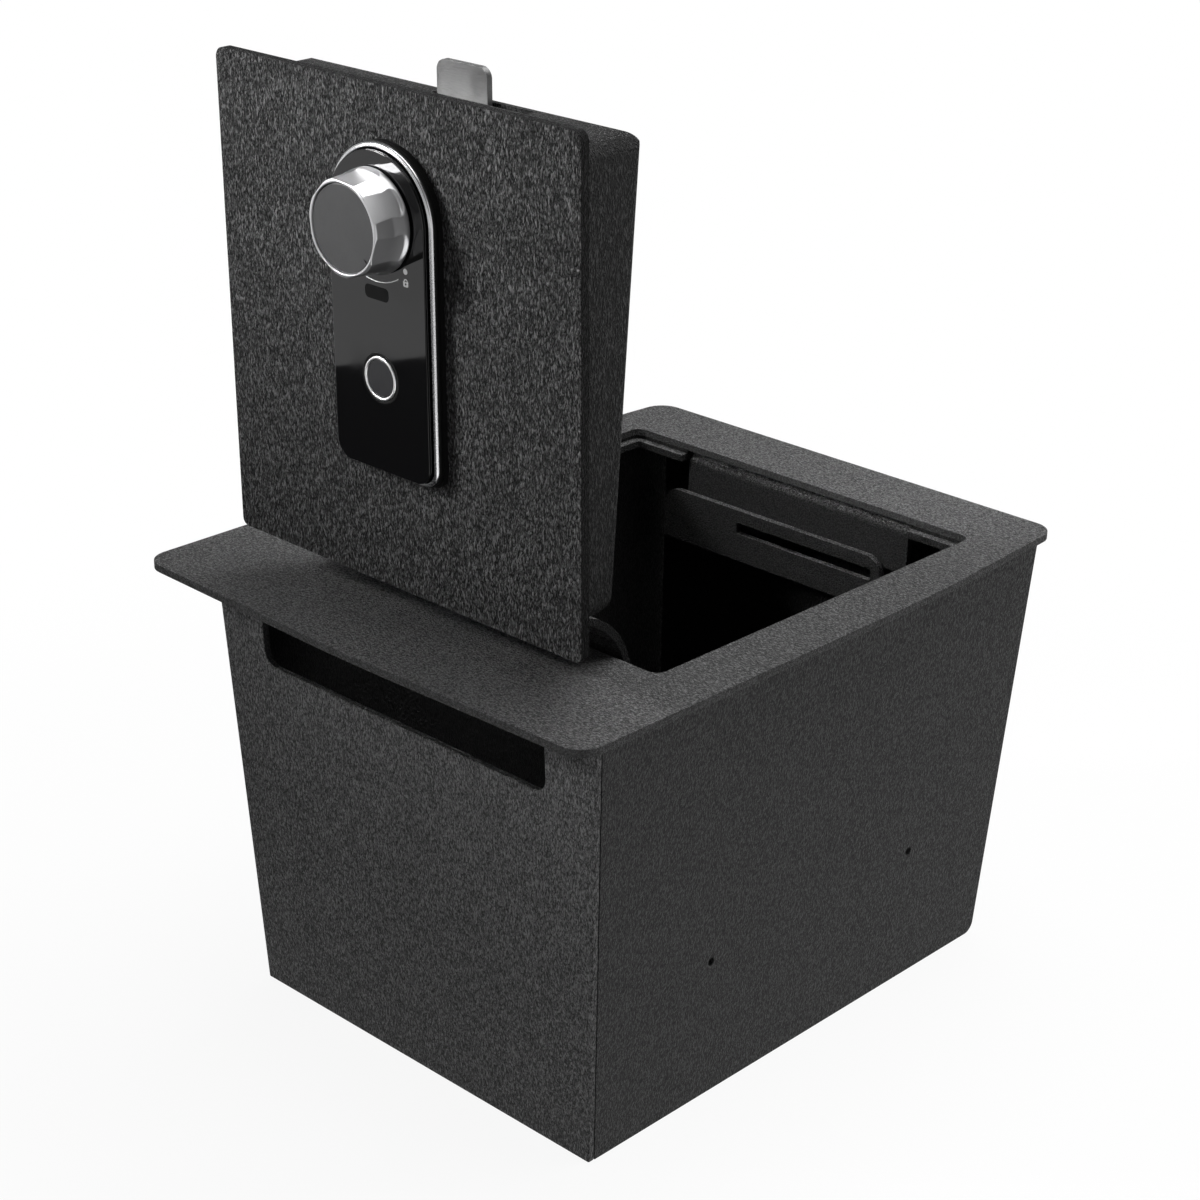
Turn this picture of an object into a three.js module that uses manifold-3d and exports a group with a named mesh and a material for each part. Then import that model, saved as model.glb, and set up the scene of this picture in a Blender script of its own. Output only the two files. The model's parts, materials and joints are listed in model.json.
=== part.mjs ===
// Console safe: a welded steel box with a flange that drops into a vehicle's console, and a hinged lid
// with a knob lock. Millimetres, +Z up, base at Z = 0, hinge side at -Y, lid standing open.
import * as THREE from "three";
import { mergeVertices } from "three/addons/utils/BufferGeometryUtils.js";
import Module from "manifold-3d";

const wasm = await Module();
wasm.setup();

// Box: outer sizes just under the flange, the taper of its walls, and its sheet.
const boxHeight = 192;
const boxWidth = 207.8;
const boxLength = 263.6;
const sideTaper = 10.1;
const endTaper = 10.4;
const sheet = 3;
const seam = 0.3;
const bendRadius = 5;

// Side-wall screw holes, measured from the middle of the box and from its base.
const screwHoleRadius = 1.8;
const screwHoleHeight = 62.7;
const screwHoleNear = -58.4;
const screwHoleFar = 65.4;

// Cable slot in the hinge wall.
const slotWidth = 155;
const slotDrop = 12;
const slotHeight = 26.2;
const slotRadius = 6;

// Top flange: overhangs past the box, the wide strip beside the hinge, the bow of the hinge edge, and
// the stretch before the latch edge where both sides draw in.
const flangeThickness = 3;
const hingeOverhang = 24;
const hingeBow = 3;
const latchOverhang = 1.4;
const rightOverhang = 13.3;
const leftOverhang = 10.2;
const stripOverhang = 18.4;
const stripLength = 74;
const tailLength = 90;
const tailDraw = 6.5;
const flangeRadius = 10;
const bowRadius = 900;

// Lid opening in the flange, by the rims that it leaves inside the box's walls.
const openingFromSideWall = 11.9;
const openingFromLatchWall = 31.8;
const openingFromHingeWall = 43.7;
const openingRadius = 4.5;

// Rails under the flange that the closed lid rests on.
const seatDrop = 4.6;
const seatLip = 3.5;
const seatUnder = 6;
const seatSheet = 3;
const seatLeafClearance = 3;
const seatHangerClearance = 1.5;

// Keeper: the bent hanger under the far edge of the opening and the slotted plate on its front.
const keeperSheet = 3;
const hangerWidth = 122;
const hangerBend = 4.5;
const hangerDrop = 5;
const hangerLeg = 21;
const keeperLeft = -72;
const keeperRight = 50;
const keeperOverlap = 4.5;
const keeperHeight = 23.5;
const keeperRadius = 8;
const keeperSlotLeft = -29.4;
const keeperSlotSpare = 13.4;
const keeperSlotRadius = 1;
const keeperSlotAbove = 0.4;
const keeperSlotBelow = 2.4;
const keeperGap = 0.3;

// Hinge line, measured from the hinge edge of the opening and from the top of the flange.
const pivotSetback = 26.7;
const pivotDrop = 11.65;
const openAngle = 91.18;
const rodRadius = 4;
const rodOverhang = 3;
const rodPlay = 0.3;
const clipThickness = 1.2;
const clipRadius = 6.5;
const clipGroove = 0.8;

// Hinge leaf: one bent sheet whose curve is centred on the hinge line and whose edge curls round the rod.
const leafSheet = 3;
const leafRadius = 34.5;
const leafWidth = 145;
const leafBend = 5;
const curlWrap = 240;

// Brackets under the flange that carry the rod.
const bracketSpacing = 48;
const bracketWidth = 8;
const bracketEye = 8;
const bracketPlay = 0.6;
const heelReach = 14;

// Lid plate.
const lidThickness = 4;
const lidSideGap = 0.5;
const lidLatchGap = 0.4;
const lidSwingGap = 0.25;
const lidHingeRadius = 3;

// Tray under the lid plate: a thin welded cover, deeper towards the latch.
const traySideMargin = 7;
const trayStart = 8.5;
const trayLatchMargin = 7.5;
const trayDepthNear = 23.6;
const trayDepthFar = 37.2;
const traySheet = 1.5;
const trayCorner = 8;
const trayNearBend = 13;
const trayFarBend = 5;
const traySideBend = 3;
const weld = 0.3;

// Lock front, placed by the distance of the knob's centre from the lid's latch edge.
const lockHalfWidth = 26.9;
const lockFromLatchEdge = 45.13;
const lockFoot = 93.9;
const lockCornerRadius = 5;
const housingHeight = 2.2;
const bezelHeight = 4.9;
const bezelWidth = 0.6;
const glassHeight = 4.5;
const fit = 0.2;

// Fingerprint sensor and the small port window between it and the knob, measured down from the knob.
const sensorBelowKnob = 58.5;
const sensorOffset = -2;
const sensorRadius = 8.1;
const sensorRingWidth = 1;
const sensorRise = 1;
const sensorPadSink = 0.7;
const sensorEdge = 0.4;
const portBelowKnob = 27.1;
const portOffset = -3;
const portWidth = 12;
const portHeight = 5;
const portRadius = 2;
const portSink = 0.8;

// Knob: a round grip that flares at its base, with seven flats that end in a crescent.
const collarRadius = 18.2;
const collarHeight = 1.8;
const collarEdge = 0.6;
const knobGap = 0.4;
const knobBaseRadius = 19;
const knobFrontRadius = 17.2;
const knobHeight = 15;
const knobSkirt = 2.2;
const knobSkirtEdge = 0.5;
const knobShoulder = 0.6;
const knobShoulderRise = 2;
const knobWaist = 1.1;
const knobWaistRise = 5;
const knobWall = 2;
const knobFlats = 7;
const flatTurn = -5.3;
const flatWidth = 12.6;
const flatDistance = 16.45;
const flatDraft = 0.11;
const flatStart = 1.2;
const crescentHeight = 3.6;
const capRadius = 15.65;
const capThickness = 1.2;
const capSink = 0.5;
const capEdge = 0.3;
const rimRound = 0.8;

// Spindle and cam.
const spindleRadius = 4;
const spindlePlay = 0.3;
const squareSide = 6;
const threadRadius = 2.6;
const discRadius = 8;
const discThickness = 4;
const discDepth = 10;
const notchWidth = 3.8;
const notchDepth = 3;
const camSheet = 2.4;
const camHubGap = 0.5;
const camHubDepth = 22.9;
const camHubRadius = 11;
const camTipDepth = 27.6;
const camJoggleStart = 12;
const camJoggleLength = 8;
const tongueLeft = -4.5;
const tongueRight = 20.6;
const tongueHold = 4.6;
const tongueRadius = 4;
const tongueSlotLeft = -6.5;
const tongueSlotSpare = 1.5;
const tongueSlotMargin = 0.8;
const spindleTail = 2;
const nutRadius = 6;
const nutHeight = 3.6;

// Lock chassis behind the lid plate, its solenoid and its circuit board.
const chassisSheet = 2;
const chassisLeft = -42;
const chassisRight = 24;
const chassisBelowKnob = 52.9;
const chassisAboveKnob = 25.1;
const chassisRadius = 4;
const bossRadius = 7.5;
const bossHeight = 3;
const lockScrewRadius = 1.6;
const lockScrewHead = 3;
const lockScrewHeadHeight = 2;
const lockScrewInset = 7;
const lockScrewGap = 0.5;
const blindFloor = 0.6;
const solenoidLength = 20;
const solenoidWidth = 13;
const solenoidHeight = 10;
const solenoidGap = 10;
const solenoidRadius = 1.5;
const pinRadius = 1.5;
const pinPlay = 0.3;
const pinClearance = 0.5;
const pinLength = 18;
const pinRoom = 5.5;
const boardWidth = 38;
const boardLength = 33;
const boardSetback = 6;
const boardRadius = 2;
const chipSide = 15;
const boardThickness = 1.6;
const boardPost = 2.2;
const boardPostHeight = 3.6;
const boardInset = 4;

// Battery holder with its cells in rows of two, and the cover on the tray.
const cellRadius = 7.1;
const cellLength = 50;
const cellRows = 2;
const cellsInRow = 2;
const cellPitch = 15.2;
const cellNubRadius = 2.7;
const cellNubHeight = 1;
const cellPlay = 0.4;
const holderWall = 1.5;
const holderStart = 28;
const holderBase = 1.4;
const holderHeight = 13;
const coverMargin = 3;
const coverThickness = 1.2;
const coverLap = 5;
const coverEndLap = 2;
const coverRadius = 3;
const hatchRadius = 2;
const coverScrewRadius = 1.4;
const coverScrewHead = 2.8;
const coverScrewHeadHeight = 1.2;
const coverScrewLength = 3.4;

const flangeUnder = boxHeight - flangeThickness;
const openingWidth = boxWidth - 2 * openingFromSideWall;
const openingNear = openingFromHingeWall - boxLength / 2;
const openingFar = boxLength / 2 - openingFromLatchWall;
const pivotY = openingNear - pivotSetback;
const pivotZ = boxHeight - pivotDrop;
const swingRadius = Math.hypot(pivotSetback, pivotDrop) + lidSwingGap;
const lidSetback = Math.sqrt(swingRadius ** 2 - (pivotDrop - lidThickness) ** 2);
const lidLength = openingFar - lidLatchGap - pivotY - lidSetback;
const lidWidth = openingWidth - 2 * lidSideGap;
const lidLatchRadius = openingRadius - lidSideGap;
const lockCentre = lidLength - lockFromLatchEdge;
const sensorCentre = lockCentre - sensorBelowKnob;
const portCentre = lockCentre - portBelowKnob;
const chassisNear = lockCentre - chassisBelowKnob;
const chassisFar = lockCentre + chassisAboveKnob;
const trayWidth = lidWidth - 2 * traySideMargin;
const trayEnd = lidLength - trayLatchMargin;
const trayTop = -lidThickness - weld;
const traySlope = (trayDepthFar - trayDepthNear) / (trayEnd - trayStart);
const tongueTop = boxHeight - camTipDepth;
const hangerFront = openingFar;
const keeperTop = boxHeight - hangerDrop - hangerLeg + keeperOverlap;
const keeperBack = hangerFront - keeperGap - pivotY - lidSetback - lockCentre;
const tongueReach = keeperBack + tongueHold;
const tongueSweep = Math.hypot(tongueRight - tongueRadius, tongueReach - tongueRadius) + tongueRadius;
const tongueSlotRight = sweptWidth(trayEnd - traySheet - lockCentre) + tongueSlotSpare;
const keeperSlotRight = sweptWidth(keeperBack - keeperSheet) + keeperSlotSpare;

// How far to the right the turning tongue reaches, at a distance from the knob's axis.
function sweptWidth(distance) {
  return Math.sqrt(tongueSweep ** 2 - distance ** 2);
}

// A solid from a closed geometry.
function solid(geometry) {
  const bare = geometry.clone();
  bare.deleteAttribute("normal");
  bare.deleteAttribute("uv");
  const merged = mergeVertices(bare, 1e-4);
  return new wasm.Manifold(
    new wasm.Mesh({
      numProp: 3,
      vertProperties: new Float32Array(merged.attributes.position.array),
      triVerts: new Uint32Array(merged.index.array),
    }),
  );
}

// A geometry with flat shading normals from a solid.
function geometryOf(body) {
  const mesh = body.getMesh();
  const geometry = new THREE.BufferGeometry();
  geometry.setAttribute("position", new THREE.BufferAttribute(mesh.vertProperties, 3));
  geometry.setIndex(new THREE.BufferAttribute(mesh.triVerts, 1));
  const flat = geometry.toNonIndexed();
  flat.computeVertexNormals();
  return flat;
}

// The first geometry less all the others.
function cut(first, ...others) {
  return geometryOf(others.reduce((body, other) => body.subtract(solid(other)), solid(first)));
}

// All the geometries as one.
function join(first, ...others) {
  return geometryOf(others.reduce((body, other) => body.add(solid(other)), solid(first)));
}

// What all the geometries share.
function overlap(first, ...others) {
  return geometryOf(others.reduce((body, other) => body.intersect(solid(other)), solid(first)));
}

// Draws a line through corners [x, y, radius], rounding each corner by its own radius.
function roundedLine(corners, closed) {
  const line = new THREE.Shape();
  const count = corners.length;
  corners.forEach(([x, y, radius = 0], i) => {
    const corner = new THREE.Vector2(x, y);
    const end = !closed && (i === 0 || i === count - 1);
    if (end || radius === 0) {
      if (i === 0) line.moveTo(x, y);
      else line.lineTo(x, y);
      return;
    }
    const before = corners[(i + count - 1) % count];
    const after = corners[(i + 1) % count];
    const back = new THREE.Vector2(before[0] - x, before[1] - y).normalize();
    const onward = new THREE.Vector2(after[0] - x, after[1] - y).normalize();
    const half = Math.acos(THREE.MathUtils.clamp(back.dot(onward), -1, 1)) / 2;
    const start = corner.clone().addScaledVector(back, radius / Math.tan(half));
    const middle = back.clone().add(onward).normalize();
    const centre = corner.clone().addScaledVector(middle, radius / Math.sin(half));
    const turn = onward.cross(back);
    const swing = Math.sign(turn) * (Math.PI - 2 * half);
    const angle = Math.atan2(start.y - centre.y, start.x - centre.x);
    if (i === 0) line.moveTo(start.x, start.y);
    else line.lineTo(start.x, start.y);
    line.absarc(centre.x, centre.y, radius, angle, angle + swing, swing < 0);
  });
  if (closed) line.closePath();
  return line;
}

function outline(corners) {
  return roundedLine(corners, true);
}

// A rectangle with equal rounded corners.
function rectangle(left, right, low, high, radius = 0) {
  return outline([
    [left, low, radius],
    [right, low, radius],
    [right, high, radius],
    [left, high, radius],
  ]);
}

function circle(x, y, radius) {
  return new THREE.Shape().absarc(x, y, radius, 0, 2 * Math.PI, false);
}

// The section of a sheet of the given thickness whose middle follows a list of points.
function sheetSection(points, thickness) {
  const sides = [[], []];
  points.forEach((point, i) => {
    const before = points[Math.max(i - 1, 0)];
    const after = points[Math.min(i + 1, points.length - 1)];
    const inward = point.clone().sub(before).normalize();
    const onward = after.clone().sub(point).normalize();
    const along = inward.clone().add(onward).normalize();
    const across = new THREE.Vector2(-along.y, along.x);
    const bend = i === 0 || i === points.length - 1 ? 1 : along.dot(onward);
    const offset = thickness / 2 / bend;
    sides[0].push(point.clone().addScaledVector(across, offset));
    sides[1].push(point.clone().addScaledVector(across, -offset));
  });
  return new THREE.Shape([...sides[1], ...sides[0].reverse()]);
}

function extrude(shape, depth, segments) {
  return new THREE.ExtrudeGeometry(shape, { depth, bevelEnabled: false, curveSegments: segments });
}

// A shape drawn in X and Y, made solid from low to high along Z.
function alongZ(shape, low, high, segments = 6) {
  return extrude(shape, high - low, segments).translate(0, 0, low);
}

// A shape drawn in Y and Z, made solid from low to high along X.
function alongX(shape, low, high, segments = 6) {
  const turn = new THREE.Matrix4().set(0, 0, 1, low, 1, 0, 0, 0, 0, 1, 0, 0, 0, 0, 0, 1);
  return extrude(shape, high - low, segments).applyMatrix4(turn);
}

// A shape drawn in X and Z, made solid from low to high along Y.
function alongY(shape, low, high, segments = 6) {
  const turn = new THREE.Matrix4().set(1, 0, 0, 0, 0, 0, -1, high, 0, 1, 0, 0, 0, 0, 0, 1);
  return extrude(shape, high - low, segments).applyMatrix4(turn);
}

function block(x0, x1, y0, y1, z0, z1) {
  return alongZ(rectangle(x0, x1, y0, y1), z0, z1);
}

// A solid of revolution about Z through points [radius, height] that start and end on the axis.
function turned(profile, segments = 32) {
  const points = profile.map(([radius, height]) => new THREE.Vector2(radius, height));
  return new THREE.LatheGeometry(points, segments).rotateX(Math.PI / 2);
}

// Shifts X or Y in proportion to Z, as the tapered walls lean outwards.
function lean(geometry, perX, perY) {
  const shear = new THREE.Matrix4().set(1, 0, perX, 0, 0, 1, perY, 0, 0, 0, 1, 0, 0, 0, 0, 1);
  return geometry.applyMatrix4(shear);
}

const finishes = {
  coatedSteel: { color: 0x2b2b2c, roughness: 0.62, metalness: 0.2 },
  zincSteel: { color: 0x8f9194, roughness: 0.4, metalness: 0.9 },
  chrome: { color: 0xd5d6d8, roughness: 0.15, metalness: 1 },
  satinMetal: { color: 0xa8a9ab, roughness: 0.32, metalness: 1 },
  blackGlass: { color: 0x050506, roughness: 0.05, metalness: 0 },
  blackPlastic: { color: 0x111112, roughness: 0.45, metalness: 0 },
  greyPlastic: { color: 0x3a3a3c, roughness: 0.5, metalness: 0 },
  board: { color: 0x1f4a2c, roughness: 0.5, metalness: 0 },
  cellJacket: { color: 0x6c4a2a, roughness: 0.35, metalness: 0.3 },
};

function piece(name, finish, geometry) {
  const mesh = new THREE.Mesh(geometry, new THREE.MeshStandardMaterial(finishes[finish]));
  mesh.name = name;
  return mesh;
}

// Half-sizes of the box's outside at a height.
function halfWidthAt(height) {
  return boxWidth / 2 - (sideTaper * (flangeUnder - height)) / flangeUnder;
}

function halfLengthAt(height) {
  return boxLength / 2 - (endTaper * (flangeUnder - height)) / flangeUnder;
}

const sideLean = sideTaper / flangeUnder;
const endLean = endTaper / flangeUnder;

// A side wall stands between the hinge wall and the outside of the latch wall, which it covers.
function sideWall(side) {
  const clear = sheet + seam;
  const wall = outline([
    [-halfLengthAt(0) + clear, 0],
    [halfLengthAt(0), 0, bendRadius],
    [halfLengthAt(flangeUnder), flangeUnder],
    [-halfLengthAt(flangeUnder) + clear, flangeUnder],
  ]);
  for (const along of [screwHoleNear, screwHoleFar]) {
    wall.holes.push(circle(along, screwHoleHeight, screwHoleRadius));
  }
  const outer = side * halfWidthAt(0);
  const inner = side * (halfWidthAt(0) - sheet);
  return lean(alongX(wall, Math.min(outer, inner), Math.max(outer, inner), 5), side * sideLean, 0);
}

// The hinge wall covers the ends of the side walls and of the floor, and has the cable slot.
function hingeWall() {
  const wall = outline([
    [-halfWidthAt(0), 0],
    [halfWidthAt(0), 0],
    [halfWidthAt(flangeUnder), flangeUnder],
    [-halfWidthAt(flangeUnder), flangeUnder],
  ]);
  const slotTop = boxHeight - slotDrop;
  wall.holes.push(rectangle(-slotWidth / 2, slotWidth / 2, slotTop - slotHeight, slotTop, slotRadius));
  return lean(alongY(wall, -halfLengthAt(0), sheet - halfLengthAt(0), 5), 0, -endLean);
}

// Floor and latch wall are bent from one sheet that lies between the side walls.
function floorAndLatchWall() {
  const middle = sheet / 2;
  const far = halfLengthAt(0) - middle;
  const line = roundedLine([
    [-halfLengthAt(0) + sheet + seam, middle],
    [far, middle, bendRadius - middle],
    [far + endLean * flangeUnder, flangeUnder],
  ]);
  const bent = alongX(sheetSection(line.getPoints(3), sheet), -boxWidth, boxWidth);
  const inside = halfWidthAt(0) - sheet - seam;
  const room = outline([
    [-inside, -sheet],
    [inside, -sheet],
    [inside + sideTaper, flangeUnder],
    [-inside - sideTaper, flangeUnder],
  ]);
  return overlap(bent, alongY(room, -boxLength, boxLength));
}

function topFlange() {
  const right = boxWidth / 2 + rightOverhang;
  const left = -boxWidth / 2 - leftOverhang;
  const stripLeft = -boxWidth / 2 - stripOverhang;
  const near = -boxLength / 2 - hingeOverhang;
  const far = boxLength / 2 + latchOverhang;
  const stepRadius = (left - stripLeft) / 2;
  const plate = outline([
    [stripLeft, near + hingeBow, flangeRadius],
    [0, near, bowRadius],
    [right, near + hingeBow, flangeRadius],
    [right, far - tailLength, bowRadius],
    [right - tailDraw, far, flangeRadius],
    [left + tailDraw, far, flangeRadius],
    [left, far - tailLength, bowRadius],
    [left, near + stripLength, stepRadius],
    [stripLeft, near + stripLength, stepRadius],
  ]);
  const half = openingWidth / 2;
  plate.holes.push(rectangle(-half, half, openingNear, openingFar, openingRadius));
  return alongZ(plate, flangeUnder, boxHeight);
}

// A seat rail follows one side of the opening and turns both corners. Its inner lip steps down.
function seatRail(side) {
  const half = openingWidth / 2;
  const ring = (outer, inner, low, high) => {
    const band = rectangle(
      -half - outer, half + outer, openingNear - outer, openingFar + outer, openingRadius + outer);
    const radius = Math.max(openingRadius - inner, 0);
    band.holes.push(rectangle(-half + inner, half - inner, openingNear + inner, openingFar - inner, radius));
    return alongZ(band, low, high, 4);
  };
  const lipTop = boxHeight - seatDrop;
  const foot = ring(seatUnder, -seam, flangeUnder - seatSheet, flangeUnder);
  const lip = ring(seatUnder / 2, seatLip, lipTop - seatSheet, lipTop);
  const beside = (stop) => [side * stop, side * boxWidth].sort((a, b) => a - b);
  const middle = (openingNear + openingFar) / 2;
  const low = flangeUnder - boxHeight / 2;
  const nearHalf = block(...beside(leafWidth / 2 + seatLeafClearance), -boxLength, middle, low, boxHeight);
  const farHalf = block(...beside(hangerWidth / 2 + seatHangerClearance), middle, boxLength, low, boxHeight);
  return overlap(join(foot, lip), join(nearHalf, farHalf));
}

function keeperHanger() {
  const middle = keeperSheet / 2;
  const top = boxHeight - hangerDrop - middle;
  const wall = halfLengthAt(top) - sheet - seam - endLean * middle;
  const line = roundedLine([
    [wall, top],
    [hangerFront + middle, top, hangerBend - middle],
    [hangerFront + middle, top + middle - hangerLeg],
  ]);
  return alongX(sheetSection(line.getPoints(4), keeperSheet), -hangerWidth / 2, hangerWidth / 2);
}

// The slotted plate is spot-welded to the front of the hanger. The cam's tongue turns into its slot.
function keeperSlotPlate() {
  const bottom = keeperTop - keeperHeight;
  const plate = outline([
    [keeperLeft, bottom],
    [keeperRight, bottom],
    [keeperRight, keeperTop, keeperRadius],
    [keeperLeft, keeperTop, keeperRadius],
  ]);
  const slotLow = tongueTop - camSheet - keeperSlotBelow;
  const slotHigh = tongueTop + keeperSlotAbove;
  plate.holes.push(rectangle(keeperSlotLeft, keeperSlotRight, slotLow, slotHigh, keeperSlotRadius));
  const back = hangerFront - keeperGap;
  return alongY(plate, back - keeperSheet, back, 5);
}

// A bracket is drawn round the hinge line: an eye for the rod, and a heel that stops the open leaf.
function hingeBracket(middle) {
  const top = pivotDrop - flangeThickness;
  const heelLow = -rodRadius - rodPlay + seam;
  const eye = new THREE.Shape();
  eye.moveTo(-bracketEye, top);
  eye.lineTo(-bracketEye, 0);
  eye.absarc(0, 0, bracketEye, -Math.PI, -Math.asin(-heelLow / bracketEye), false);
  eye.lineTo(heelReach, heelLow);
  eye.lineTo(heelReach, top);
  eye.closePath();
  eye.holes.push(circle(0, 0, rodRadius + rodPlay));
  return alongX(eye, middle - bracketWidth / 2, middle + bracketWidth / 2, 10);
}

const rodHalf = leafWidth / 2 + rodOverhang;
const clipCentre = rodHalf - clipThickness / 2 - clipGroove;

function hingeRod() {
  const groove = clipThickness / 2 + seam / 2;
  const neck = rodRadius - clipGroove;
  const half = [
    [rodRadius, clipCentre - groove],
    [neck, clipCentre - groove],
    [neck, clipCentre + groove],
    [rodRadius, clipCentre + groove],
    [rodRadius, rodHalf],
    [0, rodHalf],
  ];
  const other = half.map(([radius, height]) => [radius, -height]).reverse();
  return turned([...other, ...half], 20).rotateY(Math.PI / 2);
}

// A retaining clip is an open ring that snaps into the rod's groove.
function rodClip(side) {
  const mouth = Math.PI / 3;
  const ring = new THREE.Shape();
  ring.absarc(0, 0, clipRadius, mouth / 2, 2 * Math.PI - mouth / 2, false);
  ring.absarc(0, 0, rodRadius - clipGroove + seam / 2, 2 * Math.PI - mouth / 2, mouth / 2, true);
  ring.closePath();
  const middle = side * clipCentre;
  return alongX(ring, middle - clipThickness / 2, middle + clipThickness / 2, 20);
}

// The gooseneck leaf, drawn with the lid closed: an arc round the hinge line that hangs from the lid
// plate, a bend, a web and a curl round the rod. It swings through the opening past the flange's edge.
function hingeLeaf() {
  const arc = leafRadius - leafSheet / 2;
  const curl = rodRadius + rodPlay + leafSheet / 2;
  const bendY = leafBend - curl;
  const bendZ = -Math.sqrt((arc - leafBend) ** 2 - bendY ** 2);
  const meet = Math.atan2(bendZ, bendY);
  const plateUnder = pivotDrop - lidThickness - weld;
  const line = new THREE.Path();
  line.absarc(0, 0, arc, Math.asin(pivotDrop / arc), meet, true);
  line.absarc(bendY, bendZ, leafBend, meet, -Math.PI, true);
  line.absarc(0, 0, curl, Math.PI, Math.PI - THREE.MathUtils.degToRad(curlWrap), true);
  const points = [];
  line.curves.forEach((curve) => {
    const turn = Math.abs(curve.aEndAngle - curve.aStartAngle) || 1;
    const steps = curve.isEllipseCurve ? Math.ceil(turn / (Math.PI / 14)) : 1;
    curve.getPoints(steps).forEach((point) => {
      const last = points.at(-1);
      if (!last || last.distanceTo(point) > seam) points.push(point);
    });
  });
  const leaf = alongX(sheetSection(points, leafSheet), -leafWidth / 2, leafWidth / 2);
  const above = block(-leafWidth, leafWidth, 0, 2 * leafRadius, plateUnder, plateUnder + leafRadius);
  const gap = bracketWidth / 2 + bracketPlay;
  const slots = [-1, 1].map((side) => {
    const middle = (side * bracketSpacing) / 2;
    return alongX(circle(0, 0, bracketEye + bracketPlay), middle - gap, middle + gap, 20);
  });
  return cut(leaf, above, ...slots);
}

// Lid pieces are drawn with X across, Y from the plate's hinge edge and Z outwards from its face.
function lockOutline(inset) {
  const half = lockHalfWidth - inset;
  const low = lockCentre - lockFoot + inset;
  const radius = lockCornerRadius - inset / 2;
  const path = new THREE.Shape();
  path.moveTo(half, lockCentre);
  path.absarc(0, lockCentre, half, 0, Math.PI, false);
  path.lineTo(-half, low + radius);
  path.absarc(-half + radius, low + radius, radius, Math.PI, 1.5 * Math.PI, false);
  path.lineTo(half - radius, low);
  path.absarc(half - radius, low + radius, radius, 1.5 * Math.PI, 2 * Math.PI, false);
  path.closePath();
  return path;
}

const lockScrews = [
  [0, chassisNear + lockScrewInset],
  [0, chassisFar - lockScrewInset],
];

function spindleHole() {
  return circle(0, lockCentre, spindleRadius + spindlePlay);
}

function lidPlate() {
  const half = lidWidth / 2;
  const plate = outline([
    [-half, 0, lidHingeRadius],
    [half, 0, lidHingeRadius],
    [half, lidLength, lidLatchRadius],
    [-half, lidLength, lidLatchRadius],
  ]);
  plate.holes.push(spindleHole());
  plate.holes.push(circle(sensorOffset, sensorCentre, sensorRadius / 2));
  lockScrews.forEach(([x, y]) => plate.holes.push(circle(x, y, lockScrewRadius + fit)));
  return alongZ(plate, -lidThickness, 0);
}

// The tray's form, or its inside when inset by the sheet: a box with rounded bends, sheared to its wedge.
function trayForm(inset) {
  const half = trayWidth / 2 - inset;
  const near = trayStart + inset;
  const far = trayEnd - inset;
  const depth = trayDepthNear - inset;
  const top = trayDepthFar;
  const plan = alongZ(rectangle(-half, half, near, far, trayCorner - inset), -depth, top, 5);
  const side = outline([
    [near, -depth, trayNearBend - inset],
    [far, -depth, trayFarBend - inset],
    [far, top],
    [near, top],
  ]);
  const end = outline([
    [-half, -depth, traySideBend - inset],
    [half, -depth, traySideBend - inset],
    [half, top],
    [-half, top],
  ]);
  return wedge(overlap(plan, alongX(side, -half, half, 6), alongY(end, near, far, 4)));
}

// Deepens a form towards the latch end as the tray does.
function wedge(geometry) {
  const shear = new THREE.Matrix4().set(
    1, 0, 0, 0, 0, 1, 0, 0, 0, -traySlope, 1, traySlope * trayStart, 0, 0, 0, 1);
  return geometry.applyMatrix4(shear);
}

const cellRoom = cellLength + cellNubHeight + 2 * cellPlay;
const holderLength = cellRows * cellPitch + 2 * holderWall;
const holderWidth = cellsInRow * cellRoom + 2 * holderWall;
const hatch = {
  left: -holderWidth / 2 - coverMargin,
  right: holderWidth / 2 + coverMargin,
  near: holderStart - coverMargin,
  far: holderStart + holderLength + coverMargin,
};
const coverScrews = [hatch.left - coverLap / 2, hatch.right + coverLap / 2].map((x) => [
  x,
  (hatch.near + hatch.far) / 2,
]);

function lidTray() {
  const above = block(-trayWidth, trayWidth, 0, 2 * trayEnd, trayTop, 3 * trayDepthFar);
  const slot = block(
    tongueSlotLeft, tongueSlotRight, trayEnd - trayCorner, trayEnd + traySheet,
    -camTipDepth - camSheet - tongueSlotMargin, -camTipDepth + tongueSlotMargin);
  const window = rectangle(hatch.left, hatch.right, hatch.near, hatch.far, hatchRadius);
  const under = -trayDepthNear - traySheet;
  const over = 2 * traySheet - trayDepthNear;
  const door = wedge(alongZ(window, under, over));
  const holes = coverScrews.map(([x, y]) => wedge(alongZ(circle(x, y, coverScrewRadius + fit), under, over)));
  return cut(trayForm(0), trayForm(traySheet), above, slot, door, ...holes);
}

function batteryCover() {
  const plate = rectangle(hatch.left - coverLap, hatch.right + coverLap, hatch.near - coverEndLap,
    hatch.far + coverEndLap, coverRadius);
  coverScrews.forEach(([x, y]) => plate.holes.push(circle(x, y, coverScrewRadius + fit)));
  const top = -trayDepthNear - weld;
  return wedge(alongZ(plate, top - coverThickness, top));
}

// A pan-head screw with its axis along Z and its head down.
function screw(shaft, length, head, headHeight) {
  return turned([
    [0, -headHeight],
    [head * 0.7, -headHeight],
    [head, -headHeight * 0.4],
    [head, 0],
    [shaft, 0],
    [shaft, length],
    [0, length],
  ], 12);
}

function coverScrew([x, y]) {
  const seat = -trayDepthNear - coverThickness - 2 * weld - traySlope * (y - trayStart + coverScrewHead);
  return screw(coverScrewRadius, coverScrewLength, coverScrewHead, coverScrewHeadHeight)
    .translate(x, y, seat);
}

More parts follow.
